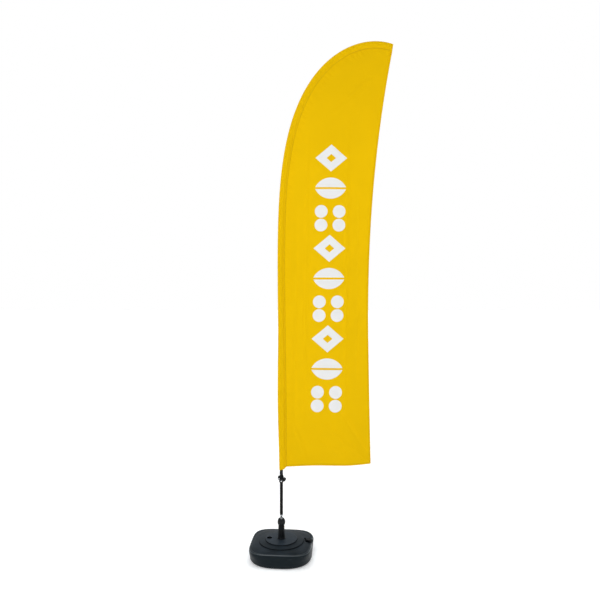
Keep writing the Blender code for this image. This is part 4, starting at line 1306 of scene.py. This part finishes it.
phase = circle(KNOT_STEPS)
ring = KNOT_SIZE[0] * (1.35 + 0.65 * np.cos(3.0 * phase))
knot_path = np.column_stack([
    ring * np.cos(2.0 * phase), KNOT_SIZE[1] * np.sin(3.0 * phase), ring * np.sin(2.0 * phase),
])
knot_radius = np.full((KNOT_STEPS, KNOT_SIDES), KNOT_CORD_R)
knot_grid = tube_along(knot_path, knot_radius, KNOT_SIDES, knot_path + (0.0, 0.00001, 0.0))
knot_grid = knot_grid + cord_path[-1]
skin("cord_knot", knot_grid, cord_black, "clip", loop=True)


# ---- tension clip --------------------------------------------------------------------------------
# A moulded collar that slides on the mast, with a guide for the cord on one side and a hooked horn
# on the other. A small knurled steel screw at its front locks it.
CLIP_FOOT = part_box("clip_collar")[0].z
CLIP_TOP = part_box("clip_collar")[1].z
CLIP_BORE = 0.0099
CLIP_R = 0.0135
collar_line = loop_line(
    [(CLIP_BORE, CLIP_FOOT), (CLIP_R - 0.0008, CLIP_FOOT), (CLIP_R, CLIP_FOOT + 0.0020),
     (CLIP_R, CLIP_FOOT + 0.0150), (CLIP_R - 0.0006, CLIP_FOOT + 0.0160),
     (CLIP_R - 0.0006, CLIP_FOOT + 0.0190), (CLIP_R, CLIP_FOOT + 0.0200),
     (CLIP_R, CLIP_TOP - 0.0030), (CLIP_R - 0.0015, CLIP_TOP), (CLIP_BORE, CLIP_TOP)],
    0.0003, 0.0009,
)
collar = skin("clip_collar_ring", spin(collar_line, 120), fitting, "clip",
              loop=True)


def plate(name, outline, half, edge):
    """A flat plate that stands up in X and Z: its outline in layers through its thickness.

    Towards each face the layers draw in along the outline's own normals, in a quarter circle.
    """
    line = rounded([*outline, outline[0]], 0.0004, 0.0030)[:-1]
    ahead = unit(np.roll(line, -1, axis=0) - np.roll(line, 1, axis=0))
    inward = np.column_stack([-ahead[:, 1], ahead[:, 0]])
    turn = np.linspace(0.0, np.pi / 2.0, 7)
    draw = np.concatenate([edge * (1.0 - np.sin(turn)), edge * (1.0 - np.cos(turn))])[:, None]
    deep = half - edge + edge * np.sin(turn)
    depth = np.concatenate([-deep[::-1], deep])[:, None]
    grid = np.stack(
        [
            line[:, 0] + inward[:, 0] * draw,
            depth + 0.0 * line[:, 0],
            line[:, 1] + inward[:, 1] * draw,
        ],
        axis=-1,
    )
    return skin(name, grid, fitting, "clip")


plate(
    "clip_horn",
    ((0.0110, CLIP_FOOT + 0.0040), (0.0215, CLIP_FOOT + 0.0050), (0.0262, CLIP_FOOT + 0.0140),
     (0.0297, CLIP_FOOT + 0.0200), (0.0250, CLIP_FOOT + 0.0240), (0.0185, CLIP_FOOT + 0.0225),
     (0.0160, CLIP_FOOT + 0.0270), (0.0110, CLIP_FOOT + 0.0290)),
    0.0050, 0.0020,
)
plate(
    "clip_cord_guide",
    ((-0.0110, CLIP_FOOT + 0.0385), (-0.0165, CLIP_FOOT + 0.0385), (-0.0202, CLIP_FOOT + 0.0365),
     (-0.0208, CLIP_FOOT + 0.0310), (-0.0175, CLIP_FOOT + 0.0250), (-0.0110, CLIP_FOOT + 0.0220)),
    0.0045, 0.0018,
)
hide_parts("clip_collar")

SCREW_HEIGHT = CLIP_FOOT + 0.010
SCREW_FACE = 0.0138
screw_line = rounded(
    [(0.0, 0.0097), (0.0020, 0.0097), (0.0020, SCREW_FACE), (0.0041, SCREW_FACE),
     (0.0043, SCREW_FACE + 0.0006), (0.0043, SCREW_FACE + 0.0042), (0.0036, SCREW_FACE + 0.0050),
     (0.0024, SCREW_FACE + 0.0050), (0.0018, SCREW_FACE + 0.0044), (0.0, SCREW_FACE + 0.0044)],
    0.00015, 0.0004,
)
screw_ring = spin(screw_line, 144, swell=lambda r, a, h: (r > 0.0041) * ribbed(
    24, 0.0003, SCREW_FACE + 0.0005, SCREW_FACE + 0.0046, 0.0005)(r, a, h))
screw_grid = facing_front(screw_ring, 0.0, SCREW_HEIGHT)
bright_steel = make_metal("bright_steel", (0.74, 0.75, 0.77, 1), 0.16, 1.0)
screw = skin("clip_screw_knurled", screw_grid, bright_steel, "clip_screw")
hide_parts("clip_screw")
